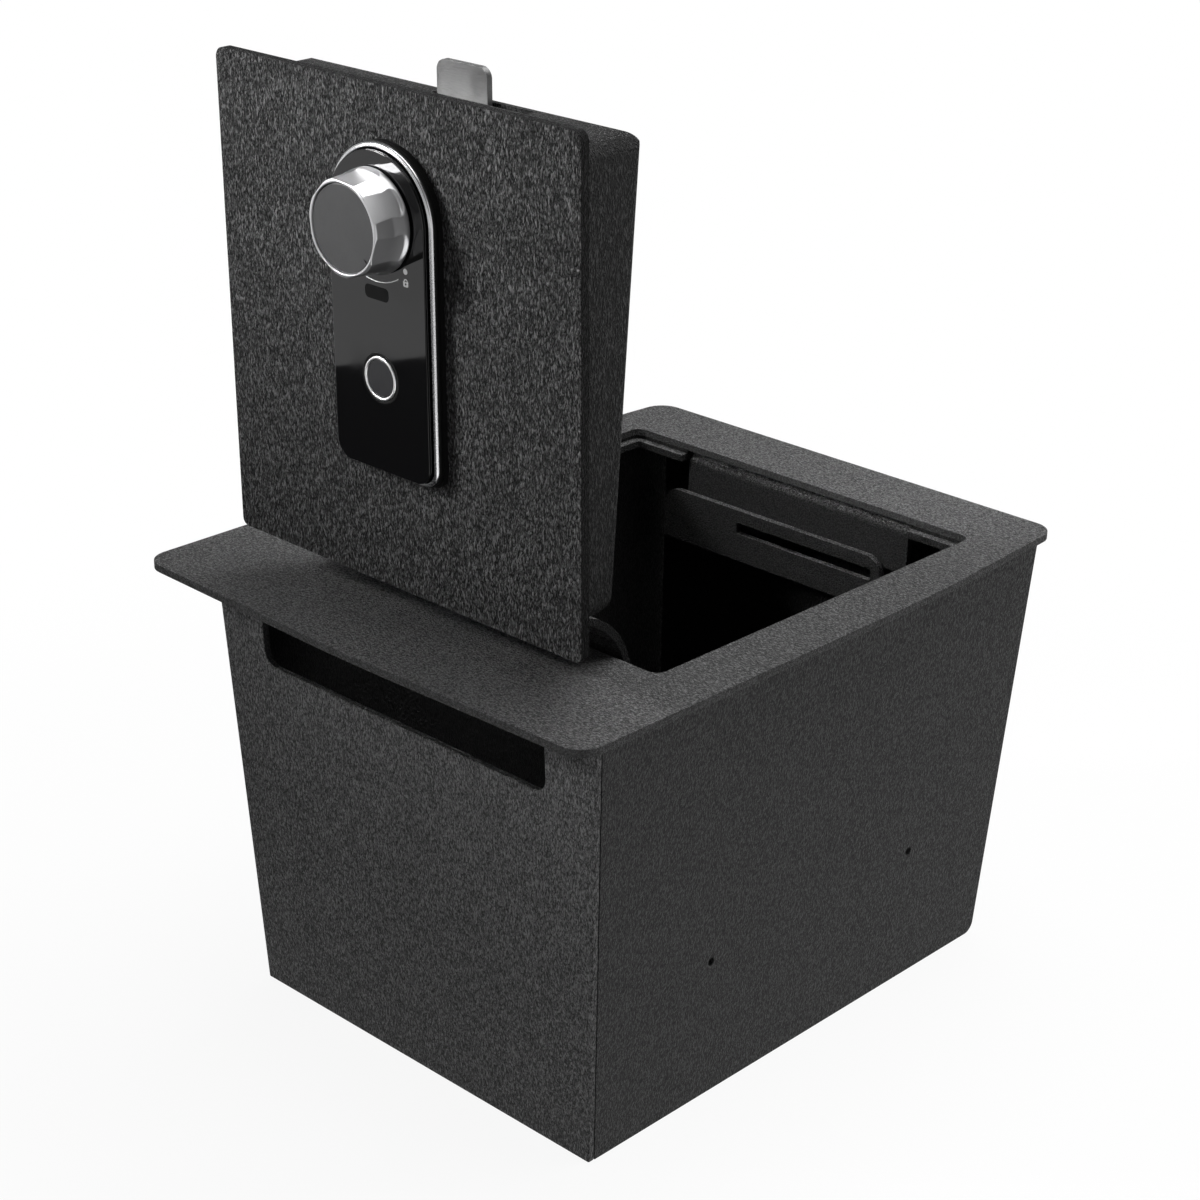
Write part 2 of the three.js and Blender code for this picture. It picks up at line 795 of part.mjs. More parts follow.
function lockHousing() {
  const body = lockOutline(0);
  body.holes.push(spindleHole());
  body.holes.push(circle(sensorOffset, sensorCentre, sensorRadius / 2));
  const shell = alongZ(body, weld, housingHeight, 8);
  const blind = lockScrews.map(([x, y]) =>
    alongZ(circle(x, y, lockScrewRadius + fit), -weld, housingHeight - blindFloor, 4));
  return cut(shell, ...blind);
}

function lockBezel() {
  const ring = lockOutline(0);
  ring.holes.push(lockOutline(bezelWidth));
  return alongZ(ring, housingHeight + weld, bezelHeight, 10);
}

function portShape(grow) {
  const halfWide = portWidth / 2 + grow;
  const halfHigh = portHeight / 2 + grow;
  return rectangle(portOffset - halfWide, portOffset + halfWide, portCentre - halfHigh,
    portCentre + halfHigh, portRadius + grow);
}

function lockGlass() {
  const face = lockOutline(bezelWidth + fit);
  face.holes.push(circle(0, lockCentre, bossRadius));
  face.holes.push(circle(sensorOffset, sensorCentre, sensorRadius + fit));
  face.holes.push(portShape(fit));
  return alongZ(face, housingHeight + weld, glassHeight, 8);
}

function portCover() {
  return alongZ(portShape(0), housingHeight + weld, glassHeight - portSink, 4);
}

function sensorRing() {
  const outer = sensorRadius;
  const inner = sensorRadius - sensorRingWidth;
  const low = housingHeight + weld;
  const high = glassHeight + sensorRise;
  return turned([
    [inner, low],
    [outer, low],
    [outer, high - sensorEdge],
    [outer - sensorEdge, high],
    [inner + sensorEdge, high],
    [inner, high - sensorEdge],
    [inner, low],
  ], 28).translate(sensorOffset, sensorCentre, 0);
}

function sensorPad() {
  const radius = sensorRadius - sensorRingWidth - fit;
  const high = glassHeight + sensorRise - sensorPadSink;
  const pad = circle(sensorOffset, sensorCentre, radius);
  return alongZ(pad, housingHeight + weld, high, 28);
}

function knobCollar() {
  const low = glassHeight + weld;
  const bore = spindleRadius + spindlePlay;
  return turned([
    [bore, low],
    [collarRadius, low],
    [collarRadius, low + collarHeight - collarEdge],
    [collarRadius - collarEdge, low + collarHeight],
    [bore, low + collarHeight],
    [bore, low],
  ], 36);
}

const knobLow = glassHeight + weld + collarHeight + knobGap;
const knobTop = knobLow + knobHeight;
const knobSeat = knobTop - capThickness - capSink;

// The grip is turned with a flared skirt, then seven flats are milled down from the front. Each leans
// out with the grip's taper and stops in a half ellipse. The front is recessed for the disc.
function knobGrip() {
  const recess = capRadius + fit;
  const skirt = knobLow + knobSkirt;
  const grip = turned([
    [0, knobLow],
    [knobBaseRadius - knobSkirtEdge, knobLow],
    [knobBaseRadius, knobLow + knobSkirtEdge],
    [knobBaseRadius, skirt],
    [knobBaseRadius - knobShoulder, skirt + knobShoulderRise],
    [knobBaseRadius - knobWaist, skirt + knobWaistRise],
    [knobFrontRadius, knobTop - rimRound],
    [knobFrontRadius - rimRound * 0.3, knobTop - rimRound * 0.3],
    [knobFrontRadius - rimRound, knobTop],
    [recess, knobTop],
    [recess, knobSeat],
    [0, knobSeat],
  ], 60);
  const half = flatWidth / 2;
  const low = knobLow + flatStart;
  const mill = new THREE.Shape();
  mill.moveTo(half, low + crescentHeight);
  mill.lineTo(half, 2 * knobTop);
  mill.lineTo(-half, 2 * knobTop);
  mill.lineTo(-half, low + crescentHeight);
  mill.absellipse(0, low + crescentHeight, half, crescentHeight, Math.PI, 2 * Math.PI, false);
  mill.closePath();
  const leaning = lean(
    alongY(mill, flatDistance + flatDraft * knobTop, 3 * knobBaseRadius, 10), 0, -flatDraft);
  const turn = THREE.MathUtils.degToRad(flatTurn);
  const flats = Array.from({ length: knobFlats }, (_, i) =>
    leaning.clone().rotateZ(turn + (2 * Math.PI * i) / knobFlats));
  const bore = alongZ(circle(0, 0, spindleRadius + spindlePlay), 0, knobSeat - knobWall, 12);
  return cut(grip, bore, ...flats);
}

function knobCap() {
  const low = knobSeat + weld / 2;
  const high = knobTop - capSink;
  return turned([
    [0, low],
    [capRadius, low],
    [capRadius, high - capEdge],
    [capRadius - capEdge, high],
    [0, high],
  ], 48);
}

// The spindle: round through the lock, a notched disc for the blocking pin, a square for the cam and a
// threaded end. The notches face the pin with the tongue out and with it turned in.
function spindle() {
  const camUnder = -camHubDepth - camSheet;
  const shoulder = camHubGap - camHubDepth;
  const tail = camUnder - nutHeight - spindleTail;
  const head = knobSeat - knobWall - 2 * fit;
  const shaft = turned([
    [0, tail],
    [threadRadius, tail],
    [threadRadius, shoulder],
    [spindleRadius, shoulder],
    [spindleRadius, -discDepth - discThickness],
    [discRadius, -discDepth - discThickness],
    [discRadius, -discDepth],
    [spindleRadius, -discDepth],
    [spindleRadius, head],
    [0, head],
  ], 24);
  const half = squareSide / 2;
  const square = block(-half, half, -half, half, camUnder, shoulder + camHubGap);
  const notch = () =>
    block(-2 * discRadius, notchDepth - discRadius, -notchWidth / 2, notchWidth / 2,
      -discDepth - 2 * discThickness, discThickness - discDepth);
  return cut(join(shaft, square), notch(), notch().rotateZ(Math.PI / 2));
}

// The cam: a round hub with a square hole, joggled down to a broad tongue that stands out of the tray.
function camTongue() {
  const hubMiddle = -camHubDepth - camSheet / 2;
  const tipMiddle = -camTipDepth - camSheet / 2;
  const line = [
    [-2 * camHubRadius, hubMiddle],
    [camJoggleStart, hubMiddle],
    [camJoggleStart + camJoggleLength, tipMiddle],
    [tongueReach + camHubRadius, tipMiddle],
  ].map(([y, z]) => new THREE.Vector2(y, z));
  const sheetForm = alongX(sheetSection(line, camSheet), -2 * tongueRight, 2 * tongueRight);
  const plan = outline([
    [tongueLeft, 0],
    [camHubRadius, 0],
    [tongueRight, camJoggleStart, tongueRadius],
    [tongueRight, tongueReach, tongueRadius],
    [tongueLeft, tongueReach, tongueRadius],
  ]);
  const deep = -camTipDepth - 2 * camSheet;
  const hub = alongZ(circle(0, 0, camHubRadius), deep, 0, 24);
  const half = squareSide / 2 + fit;
  const hole = block(-half, half, -half, half, deep, 0);
  return cut(overlap(sheetForm, join(alongZ(plan, deep, 0), hub)), hole);
}

function camNut() {
  const top = -camHubDepth - camSheet - weld;
  const nut = new THREE.Shape();
  for (let i = 0; i < 6; i += 1) {
    const angle = (i * Math.PI) / 3;
    const method = i ? "lineTo" : "moveTo";
    nut[method](nutRadius * Math.cos(angle), nutRadius * Math.sin(angle));
  }
  nut.closePath();
  nut.holes.push(circle(0, 0, threadRadius + fit));
  return alongZ(nut, top - nutHeight, top, 12);
}

const chassisTop = -lidThickness - weld;
const chassisUnder = chassisTop - chassisSheet;
const solenoidRight = -solenoidGap - discRadius;
const boardNear = chassisNear + boardSetback;
const boardFar = boardNear + boardLength;
const boardPosts = [-1, 1].flatMap((side) =>
  [boardNear + boardInset, boardFar - boardInset].map((y) => [side * (boardWidth / 2 - boardInset), y]));

function lockChassis() {
  const plan = rectangle(chassisLeft, chassisRight, chassisNear, chassisFar, chassisRadius);
  const base = alongZ(plan, chassisUnder, chassisTop);
  const boss = alongZ(circle(0, lockCentre, bossRadius), chassisUnder - bossHeight, chassisTop, 20);
  const posts = boardPosts.map(([x, y]) =>
    alongZ(circle(x, y, boardPost), chassisUnder - boardPostHeight, chassisTop, 8));
  const bore = alongZ(spindleHole(), chassisUnder - 2 * bossHeight, 0, 12);
  const holes = lockScrews.map(([x, y]) =>
    alongZ(circle(x, y, lockScrewRadius + fit), chassisUnder - chassisSheet, 0, 6));
  return cut(join(base, boss, ...posts), bore, ...holes);
}

function lockScrew([x, y]) {
  const seat = chassisUnder - weld;
  const length = housingHeight - blindFloor - lockScrewGap - seat;
  return screw(lockScrewRadius, length, lockScrewHead, lockScrewHeadHeight).translate(x, y, seat);
}

function circuitBoard() {
  const high = chassisUnder - boardPostHeight - weld;
  const half = boardWidth / 2;
  const plate = rectangle(-half, half, boardNear, boardFar, boardRadius);
  const slab = alongZ(plate, high - boardThickness, high);
  const chipHalf = chipSide / 2;
  const middle = (boardNear + boardFar) / 2;
  const chip = block(-chipHalf, chipHalf, middle - chipHalf, middle + chipHalf,
    high - 2 * boardThickness, high - boardThickness / 2);
  const opening = alongZ(circle(lockScrews[0][0], lockScrews[0][1], lockScrewHead + fit),
    high - 3 * boardThickness, high + boardThickness, 8);
  return cut(join(slab, chip), opening);
}

const pinMiddle = -discDepth - discThickness / 2;
const pinTip = -discRadius - pinClearance;
const pinBack = pinTip - pinLength;

function solenoid() {
  const half = solenoidWidth / 2;
  const top = chassisUnder - weld;
  const can = rectangle(lockCentre - half, lockCentre + half, top - solenoidHeight, top, solenoidRadius);
  const body = alongX(can, solenoidRight - solenoidLength, solenoidRight, 3);
  const bore = alongX(circle(lockCentre, pinMiddle, pinRadius + pinPlay), pinBack - pinRoom, pinTip, 12);
  return cut(body, bore);
}

// The blocking pin rests clear of the spindle's disc and slides into a notch to lock the knob.
function blockingPin() {
  return alongX(circle(lockCentre, pinMiddle, pinRadius), pinBack, pinTip, 12);
}

const cellTop = chassisTop - holderBase - cellPlay;

function batteryHolder() {
  const half = holderWidth / 2;
  const far = holderStart + holderLength;
  const low = chassisTop - holderHeight;
  const trough = block(-half, half, holderStart, far, low, chassisTop);
  const room = block(-half + holderWall, half - holderWall, holderStart + holderWall, far - holderWall,
    low - holderWall, chassisTop - holderBase);
  return cut(trough, room);
}

// A cell lies across the lid. The rows face opposite ways.
function battery(index) {
  const middle = cellTop - cellRadius;
  const row = Math.floor(index / cellsInRow);
  const across = ((index % cellsInRow) - (cellsInRow - 1) / 2) * cellRoom;
  const along = holderStart + holderWall + cellPitch * (row + 0.5);
  const half = (cellLength + cellNubHeight) / 2;
  const cell = turned([
    [0, -half],
    [cellRadius, -half],
    [cellRadius, half - cellNubHeight],
    [cellNubRadius, half - cellNubHeight],
    [cellNubRadius, half],
    [0, half],
  ], 16);
  return cell.rotateY(row % 2 ? Math.PI / 2 : -Math.PI / 2).translate(across, along, middle);
}

const safe = new THREE.Group();
safe.name = "console_safe";

const box = new THREE.Group();
box.add(
  piece("floor_latch_plate", "coatedSteel", floorAndLatchWall()),
  piece("wall_hinge_side", "coatedSteel", hingeWall()),
  piece("wall_left", "coatedSteel", sideWall(-1)),
  piece("wall_right", "coatedSteel", sideWall(1)),
  piece("top_flange", "coatedSteel", topFlange()),
  piece("seat_rail_left", "coatedSteel", seatRail(-1)),
  piece("seat_rail_right", "coatedSteel", seatRail(1)),
  piece("keeper_hanger", "coatedSteel", keeperHanger()),
  piece("keeper_slot_plate", "coatedSteel", keeperSlotPlate()),
);
safe.add(box);

// Everything on the hinge line: what stays, and the leaf and lid that turn with it.
const hinge = new THREE.Group();
hinge.position.set(0, pivotY, pivotZ);
hinge.add(
  piece("hinge_bracket_left", "coatedSteel", hingeBracket(-bracketSpacing / 2)),
  piece("hinge_bracket_right", "coatedSteel", hingeBracket(bracketSpacing / 2)),
  piece("hinge_rod", "zincSteel", hingeRod()),
  piece("rod_clip_left", "zincSteel", rodClip(-1)),
  piece("rod_clip_right", "zincSteel", rodClip(1)),
);
safe.add(hinge);

const swing = new THREE.Group();
swing.rotation.x = THREE.MathUtils.degToRad(openAngle);
swing.add(piece("hinge_leaf", "coatedSteel", hingeLeaf()));
hinge.add(swing);

const lid = new THREE.Group();
lid.position.set(0, lidSetback, pivotDrop);
lid.add(
  piece("lid_plate", "coatedSteel", lidPlate()),
  piece("lid_tray", "coatedSteel", lidTray()),
  piece("lock_housing", "blackPlastic", lockHousing()),
  piece("lock_bezel", "chrome", lockBezel()),
  piece("lock_glass", "blackGlass", lockGlass()),
  piece("sensor_ring", "chrome", sensorRing()),
  piece("sensor_pad", "greyPlastic", sensorPad()),
  piece("port_cover", "blackPlastic", portCover()),
  piece("lock_chassis", "zincSteel", lockChassis()),
  piece("circuit_board", "board", circuitBoard()),
  piece("solenoid", "zincSteel", solenoid()),
  piece("blocking_pin", "zincSteel", blockingPin()),
  piece("battery_holder", "blackPlastic", batteryHolder()),
  piece("battery_cover", "coatedSteel", batteryCover()),
);
lockScrews.forEach((place, i) => lid.add(piece("lock_screw_" + (i + 1), "zincSteel", lockScrew(place))));
coverScrews.forEach((place, i) =>
  lid.add(piece("battery_cover_screw_" + (i + 1), "zincSteel", coverScrew(place))));
for (let i = 0; i < cellRows * cellsInRow; i += 1) {
  lid.add(piece("battery_" + (i + 1), "cellJacket", battery(i)));
}
swing.add(lid);

// The knob's own axis, with the collar that it turns on.
const knob = new THREE.Group();
knob.position.set(0, lockCentre, 0);
knob.add(
  piece("knob_collar", "blackPlastic", knobCollar()),
  piece("knob_grip", "satinMetal", knobGrip()),
  piece("knob_cap", "greyPlastic", knobCap()),
  piece("spindle", "zincSteel", spindle()),
  piece("cam_tongue", "zincSteel", camTongue()),
  piece("cam_nut", "zincSteel", camNut()),
);
lid.add(knob);

export default safe;
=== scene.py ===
# %% [markdown]
# # Dressing a console safe
#
# The safe is a welded steel box that drops into a car's console. Its lid stands open and carries a knob lock.
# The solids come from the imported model, already in place and in metres. This lesson gives each of them the
# finish that the real one has, and rebuilds the few small pieces that need a finer mesh.

# %% Load the solids
import json
import math

import bmesh
import bpy
from mathutils import Matrix, Vector


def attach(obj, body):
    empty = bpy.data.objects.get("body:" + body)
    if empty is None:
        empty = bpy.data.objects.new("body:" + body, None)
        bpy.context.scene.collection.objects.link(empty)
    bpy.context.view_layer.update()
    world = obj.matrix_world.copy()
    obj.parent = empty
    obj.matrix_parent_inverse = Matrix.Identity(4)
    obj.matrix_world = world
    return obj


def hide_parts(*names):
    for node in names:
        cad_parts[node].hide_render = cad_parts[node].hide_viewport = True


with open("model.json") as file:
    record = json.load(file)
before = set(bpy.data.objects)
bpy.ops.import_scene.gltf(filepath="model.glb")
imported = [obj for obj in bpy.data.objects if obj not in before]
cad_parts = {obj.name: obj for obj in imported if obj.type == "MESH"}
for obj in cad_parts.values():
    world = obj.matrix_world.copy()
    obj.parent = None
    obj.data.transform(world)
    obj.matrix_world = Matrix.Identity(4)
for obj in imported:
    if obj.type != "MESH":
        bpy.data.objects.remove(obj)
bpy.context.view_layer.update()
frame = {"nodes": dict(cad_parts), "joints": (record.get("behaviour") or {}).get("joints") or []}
solids = frame["nodes"]


# %% [markdown]
# ## The camera
#
# The photograph looks at the corner between the hinge wall and the right wall, from above. A camera can be
# aimed with angles, but a solved direction is exact when it is written as a matrix: its first three columns are
# the picture's right, the picture's up, and the way back to the viewer. The fourth is the camera's place. The
# small roll levels the picture.

# %% Camera
azimuth = math.radians(43.298)
elevation = math.radians(23.408)
roll = math.radians(-1.014)
camera_place = (0.6473, -0.7080, 0.5810)

forward = Vector((
    -math.sin(azimuth) * math.cos(elevation),
    math.cos(azimuth) * math.cos(elevation),
    -math.sin(elevation),
))
level_right = Vector((math.cos(azimuth), math.sin(azimuth), 0))
level_down = forward.cross(level_right)
picture_right = math.cos(roll) * level_right + math.sin(roll) * level_down
picture_up = math.sin(roll) * level_right - math.cos(roll) * level_down

camera_data = bpy.data.cameras.new("photo_camera")
camera_data.sensor_width = 36
camera_data.lens = 77.12
camera_data.clip_end = 200
camera = bpy.data.objects.new("photo_camera", camera_data)
camera.matrix_world = Matrix((
    (picture_right.x, picture_up.x, -forward.x, camera_place[0]),
    (picture_right.y, picture_up.y, -forward.y, camera_place[1]),
    (picture_right.z, picture_up.z, -forward.z, camera_place[2]),
    (0, 0, 0, 1),
))
bpy.context.scene.collection.objects.link(camera)
bpy.context.scene.camera = camera
bpy.context.scene.view_settings.view_transform = "Standard"
print("camera at", [round(value, 3) for value in camera.matrix_world.translation])

# %% [markdown]
# ## Lamps
#
# A black coat shows its texture only where broad soft lamps graze it, so each visible side gets a lamp of its
# own: the widest above, a small one in front of the lid, and a weak one at the right. The lamp in front has a
# narrow spread and aims at the lid's upper edge, so the lid grows darker towards its foot.

# %% Lamps
middle_of_safe = (0, 0, 0.18)
top_of_lid = (-0.09, -0.13, 0.46)


def softbox(name, place, width, height, watts, aim=middle_of_safe, spread=180):
    data = bpy.data.lights.new(name, "AREA")
    data.spread = math.radians(spread)
    data.shape = "RECTANGLE"
    data.size = width
    data.size_y = height
    data.energy = watts
    lamp = bpy.data.objects.new(name, data)
    lamp.location = place
    lamp.rotation_euler = (Vector(aim) - Vector(place)).to_track_quat("-Z", "Y").to_euler()
    bpy.context.scene.collection.objects.link(lamp)


softbox("lamp_above", (0.1, 0.3, 1.6), width=1.4, height=1.2, watts=42)
softbox("lamp_front", (-0.6, -0.65, 0.78), width=0.35, height=0.35, watts=1.25, aim=top_of_lid, spread=27)
softbox("lamp_right", (1.7, -0.5, 0.8), width=0.8, height=0.8, watts=1.8)
print("lamps:", [lamp.name for lamp in bpy.data.lights])

# %% [markdown]
# ## Cards for the mirrored room
#
# A studio also has flags: dark cards that stand where a shiny surface would mirror too much white. One lies in
# front of the hinge side. Only mirrored rays see it, so it casts no shadow and never shows in a picture. A
# small white card on it gives the ledges of the knob their bright crescents.

# %% Cards


def mirror_card(name, corners, height, color, glow):
    """A card on the floor that only mirrored rays see."""
    mesh = bpy.data.meshes.new(name)
    mesh.from_pydata([(x, y, height) for x, y in corners], [], [tuple(range(len(corners)))])
    card = bpy.data.objects.new(name, mesh)
    bpy.context.scene.collection.objects.link(card)
    card.visible_camera = False
    card.visible_diffuse = False
    card.visible_transmission = False
    card.visible_shadow = False
    cloth = bpy.data.materials.new(name)
    cloth.use_nodes = True
    face = cloth.node_tree.nodes["Principled BSDF"]
    face.inputs["Base Color"].default_value = (color, color, color, 1)
    face.inputs["Roughness"].default_value = 1
    face.inputs["Emission Color"].default_value = (1, 1, 1, 1)
    face.inputs["Emission Strength"].default_value = glow
    mesh.materials.append(cloth)
    print(name, "glow", glow)


flag_corners = [(-0.927, -0.18), (-0.191, -1.4), (0.6, -1.4), (0.6, -0.17)]
card_corners = [(0.15, -0.75), (0.5, -0.75), (0.5, -0.2), (0.15, -0.2)]
mirror_card("black_flag", flag_corners, height=0.002, color=0.01, glow=0)
mirror_card("white_card", card_corners, height=0.004, color=0.8, glow=1)

# %% [markdown]
# ## The room
#
# Metal mirrors the whole room, so the room isn't one flat grey: it is light near the horizon and dims towards
# the ceiling, which gives the knob something dark to mirror. Only the camera sees plain white in its place.

# %% Room
horizon_grey = 0.8
ceiling_grey = 0.3
room_strength = 0.5


def wire(tree, pairs):
    """Links each output to the input that stands beside it."""
    for start, end in pairs:
        tree.links.new(start, end)


world = bpy.data.worlds.new("studio")
bpy.context.scene.world = world
world.use_nodes = True
room = world.node_tree
direction = room.nodes.new("ShaderNodeTexCoord")
parts_of = room.nodes.new("ShaderNodeSeparateXYZ")
ramp = room.nodes.new("ShaderNodeValToRGB")
ramp.color_ramp.elements[0].position = 0.02
ramp.color_ramp.elements[0].color = (horizon_grey, horizon_grey, horizon_grey, 1)
ramp.color_ramp.elements[1].position = 0.55
ramp.color_ramp.elements[1].color = (ceiling_grey, ceiling_grey, ceiling_grey, 1)
grey_room = room.nodes["Background"]
grey_room.inputs["Strength"].default_value = room_strength
white_room = room.nodes.new("ShaderNodeBackground")
white_room.inputs["Color"].default_value = (1, 1, 1, 1)
white_room.inputs["Strength"].default_value = 1.0
looks = room.nodes.new("ShaderNodeLightPath")
grey_or_white = room.nodes.new("ShaderNodeMixShader")
wire(room, (
    (direction.outputs["Generated"], parts_of.inputs[0]),
    (parts_of.outputs["Z"], ramp.inputs["Fac"]),
    (ramp.outputs["Color"], grey_room.inputs["Color"]),
    (looks.outputs["Is Camera Ray"], grey_or_white.inputs[0]),
    (grey_room.outputs[0], grey_or_white.inputs[1]),
    (white_room.outputs[0], grey_or_white.inputs[2]),
    (grey_or_white.outputs[0], room.nodes["World Output"].inputs["Surface"]),
))
print("room:", len(room.nodes), "nodes")

# %% [markdown]
# ## The floor
#
# The floor is a plain pale sheet that keeps the safe's shadow. Away from the safe it turns into plain white, as
# white as the room behind it, so that no horizon shows. The white is seen by the camera and by mirrors, and
# adds no light to the safe.

# %% Floor
floor_radius = 60
paper_grey = 0.6
fade_start = 0.25
fade_end = 0.55
least_white = 0.92

floor_mesh = bpy.data.meshes.new("floor")
floor_shape = bmesh.new()
bmesh.ops.create_circle(floor_shape, cap_ends=True, segments=96, radius=floor_radius)
floor_shape.to_mesh(floor_mesh)
floor_shape.free()
floor = bpy.data.objects.new("floor", floor_mesh)
bpy.context.scene.collection.objects.link(floor)

paper = bpy.data.materials.new("pale_paper")
paper.use_nodes = True
sheet_nodes = paper.node_tree
sheet_face = sheet_nodes.nodes["Principled BSDF"]
sheet_face.inputs["Base Color"].default_value = (paper_grey, paper_grey, paper_grey, 1)
sheet_face.inputs["Roughness"].default_value = 0.9
sheet_face.inputs["Specular IOR Level"].default_value = 0.1
white = sheet_nodes.nodes.new("ShaderNodeEmission")
white.inputs["Color"].default_value = (1, 1, 1, 1)
place = sheet_nodes.nodes.new("ShaderNodeTexCoord")
distance = sheet_nodes.nodes.new("ShaderNodeVectorMath")
distance.operation = "LENGTH"
fade = sheet_nodes.nodes.new("ShaderNodeMapRange")
fade.interpolation_type = "SMOOTHSTEP"
fade.inputs["From Min"].default_value = fade_start
fade.inputs["From Max"].default_value = fade_end
fade.inputs["To Min"].default_value = least_white
rays = sheet_nodes.nodes.new("ShaderNodeLightPath")
seen = sheet_nodes.nodes.new("ShaderNodeMath")
seen.operation = "MAXIMUM"
seen_or_through = sheet_nodes.nodes.new("ShaderNodeMath")
seen_or_through.operation = "MAXIMUM"
amount = sheet_nodes.nodes.new("ShaderNodeMath")
amount.operation = "MULTIPLY"
blend = sheet_nodes.nodes.new("ShaderNodeMixShader")
wire(sheet_nodes, (
    (place.outputs["Object"], distance.inputs[0]),
    (distance.outputs["Value"], fade.inputs["Value"]),
    (rays.outputs["Is Camera Ray"], seen.inputs[0]),
    (rays.outputs["Is Glossy Ray"], seen.inputs[1]),
    (seen.outputs[0], seen_or_through.inputs[0]),
    (rays.outputs["Is Transmission Ray"], seen_or_through.inputs[1]),
    (seen_or_through.outputs[0], amount.inputs[0]),
    (fade.outputs["Result"], amount.inputs[1]),
    (amount.outputs[0], blend.inputs[0]),
    (sheet_face.outputs[0], blend.inputs[1]),
    (white.outputs[0], blend.inputs[2]),
    (blend.outputs[0], sheet_nodes.nodes["Material Output"].inputs["Surface"]),
))
floor_mesh.materials.append(paper)
print("floor:", floor_radius, "m in radius, white from", fade_end, "m on")

# %% [markdown]
# ## A small kit for materials
#
# Every finish below is a Principled shader with some noise in its colour, its roughness and its bump. A short
# class keeps the wiring readable: it makes a node, sets its plain values and links its inputs in one call.

# %% Material kit


class Finish:
    """A material whose pattern is laid out in metres on the piece."""

    def __init__(self, name, color, roughness, metallic=0.0, specular=0.5):
        self.material = bpy.data.materials.new(name)
        self.material.use_nodes = True
        self.tree = self.material.node_tree
        self.face = self.tree.nodes["Principled BSDF"]
        self.face.inputs["Base Color"].default_value = (*color, 1)
        self.face.inputs["Roughness"].default_value = roughness
        self.face.inputs["Metallic"].default_value = metallic
        self.face.inputs["Specular IOR Level"].default_value = specular
        self.place = self.add("ShaderNodeTexCoord").outputs["Object"]

    def add(self, kind, values=(), links=(), **settings):
        node = self.tree.nodes.new(kind)
        for key, value in settings.items():
            setattr(node, key, value)
        for key, value in dict(values).items():
            node.inputs[key].default_value = value
        for key, source in dict(links).items():
            self.tree.links.new(source, node.inputs[key])
        return node

    def noise(self, scale, seed=0.0, detail=2.0, warp=0.0, place=None):
        values = {"Scale": scale, "W": seed, "Detail": detail, "Distortion": warp}
        links = {"Vector": place or self.place}
        return self.add("ShaderNodeTexNoise", values, links, noise_dimensions="4D").outputs["Fac"]

    def math(self, operation, first, second=0.0):
        node = self.add("ShaderNodeMath", operation=operation)
        for index, value in enumerate((first, second)):
            if isinstance(value, (int, float)):
                node.inputs[index].default_value = value
            else:
                self.tree.links.new(value, node.inputs[index])
        return node.outputs[0]

    def between(self, source, low, high, start=0.0, end=1.0):
        values = {"From Min": low, "From Max": high, "To Min": start, "To Max": end}
        return self.add("ShaderNodeMapRange", values, {"Value": source},
                        interpolation_type="SMOOTHSTEP").outputs["Result"]

    def colors(self, source, first, second):
        node = self.add("ShaderNodeMix", links={"Factor": source}, data_type="RGBA")
        node.inputs["A"].default_value = (*first, 1)
        node.inputs["B"].default_value = (*second, 1)
        return node.outputs["Result"]

    def paint(self, color):
        self.tree.links.new(color, self.face.inputs["Base Color"])

    def shine(self, roughness):
        self.tree.links.new(roughness, self.face.inputs["Roughness"])

    def relief(self, height, depth, strength=1.0):
        bump = self.add("ShaderNodeBump", {"Distance": depth, "Strength": strength}, {"Height": height})
        self.tree.links.new(bump.outputs["Normal"], self.face.inputs["Normal"])

    def stretched(self, across, along, out):
        values = {"Scale": (across, along, out)}
        return self.add("ShaderNodeMapping", values, {"Vector": self.place}).outputs["Vector"]


# %% [markdown]
# ## The wrinkle coat
#
# The steel has a black wrinkle powder coat: small light flakes lie between thin winding cracks. A noise crosses
# its middle value along winding lines, so the distance from that middle value gives thin lines. Two layers of
# them, broken up by a third noise, darken, roughen and sink the surface, and a fine grain covers the flakes.
# A wide, faint cloud keeps large sheets from looking even. Painted side shade darkens the faces that don't look
# along the axis `out`, such as a sheet's cut edges, and painted inner shade darkens the faces that look into
# the box, where shade falls in a real one.
#
# Both shades use the room's axes, and that is their weak point: they suit the safe with its lid open. When the
# lid swings shut its face turns away from `out` and grows darker, which the real lid doesn't do. A shade that
# follows the piece would use the Normal of the Texture Coordinate node instead.

# %% Coat
folds_per_metre = 800
fine_folds_per_metre = 1200
gaps_per_metre = 1000
grains_per_metre = 1500
clouds_per_metre = 14
middle_value = 0.5
grain_height = 0.8
crack_roughness = 0.75
flake_roughness = 0.42


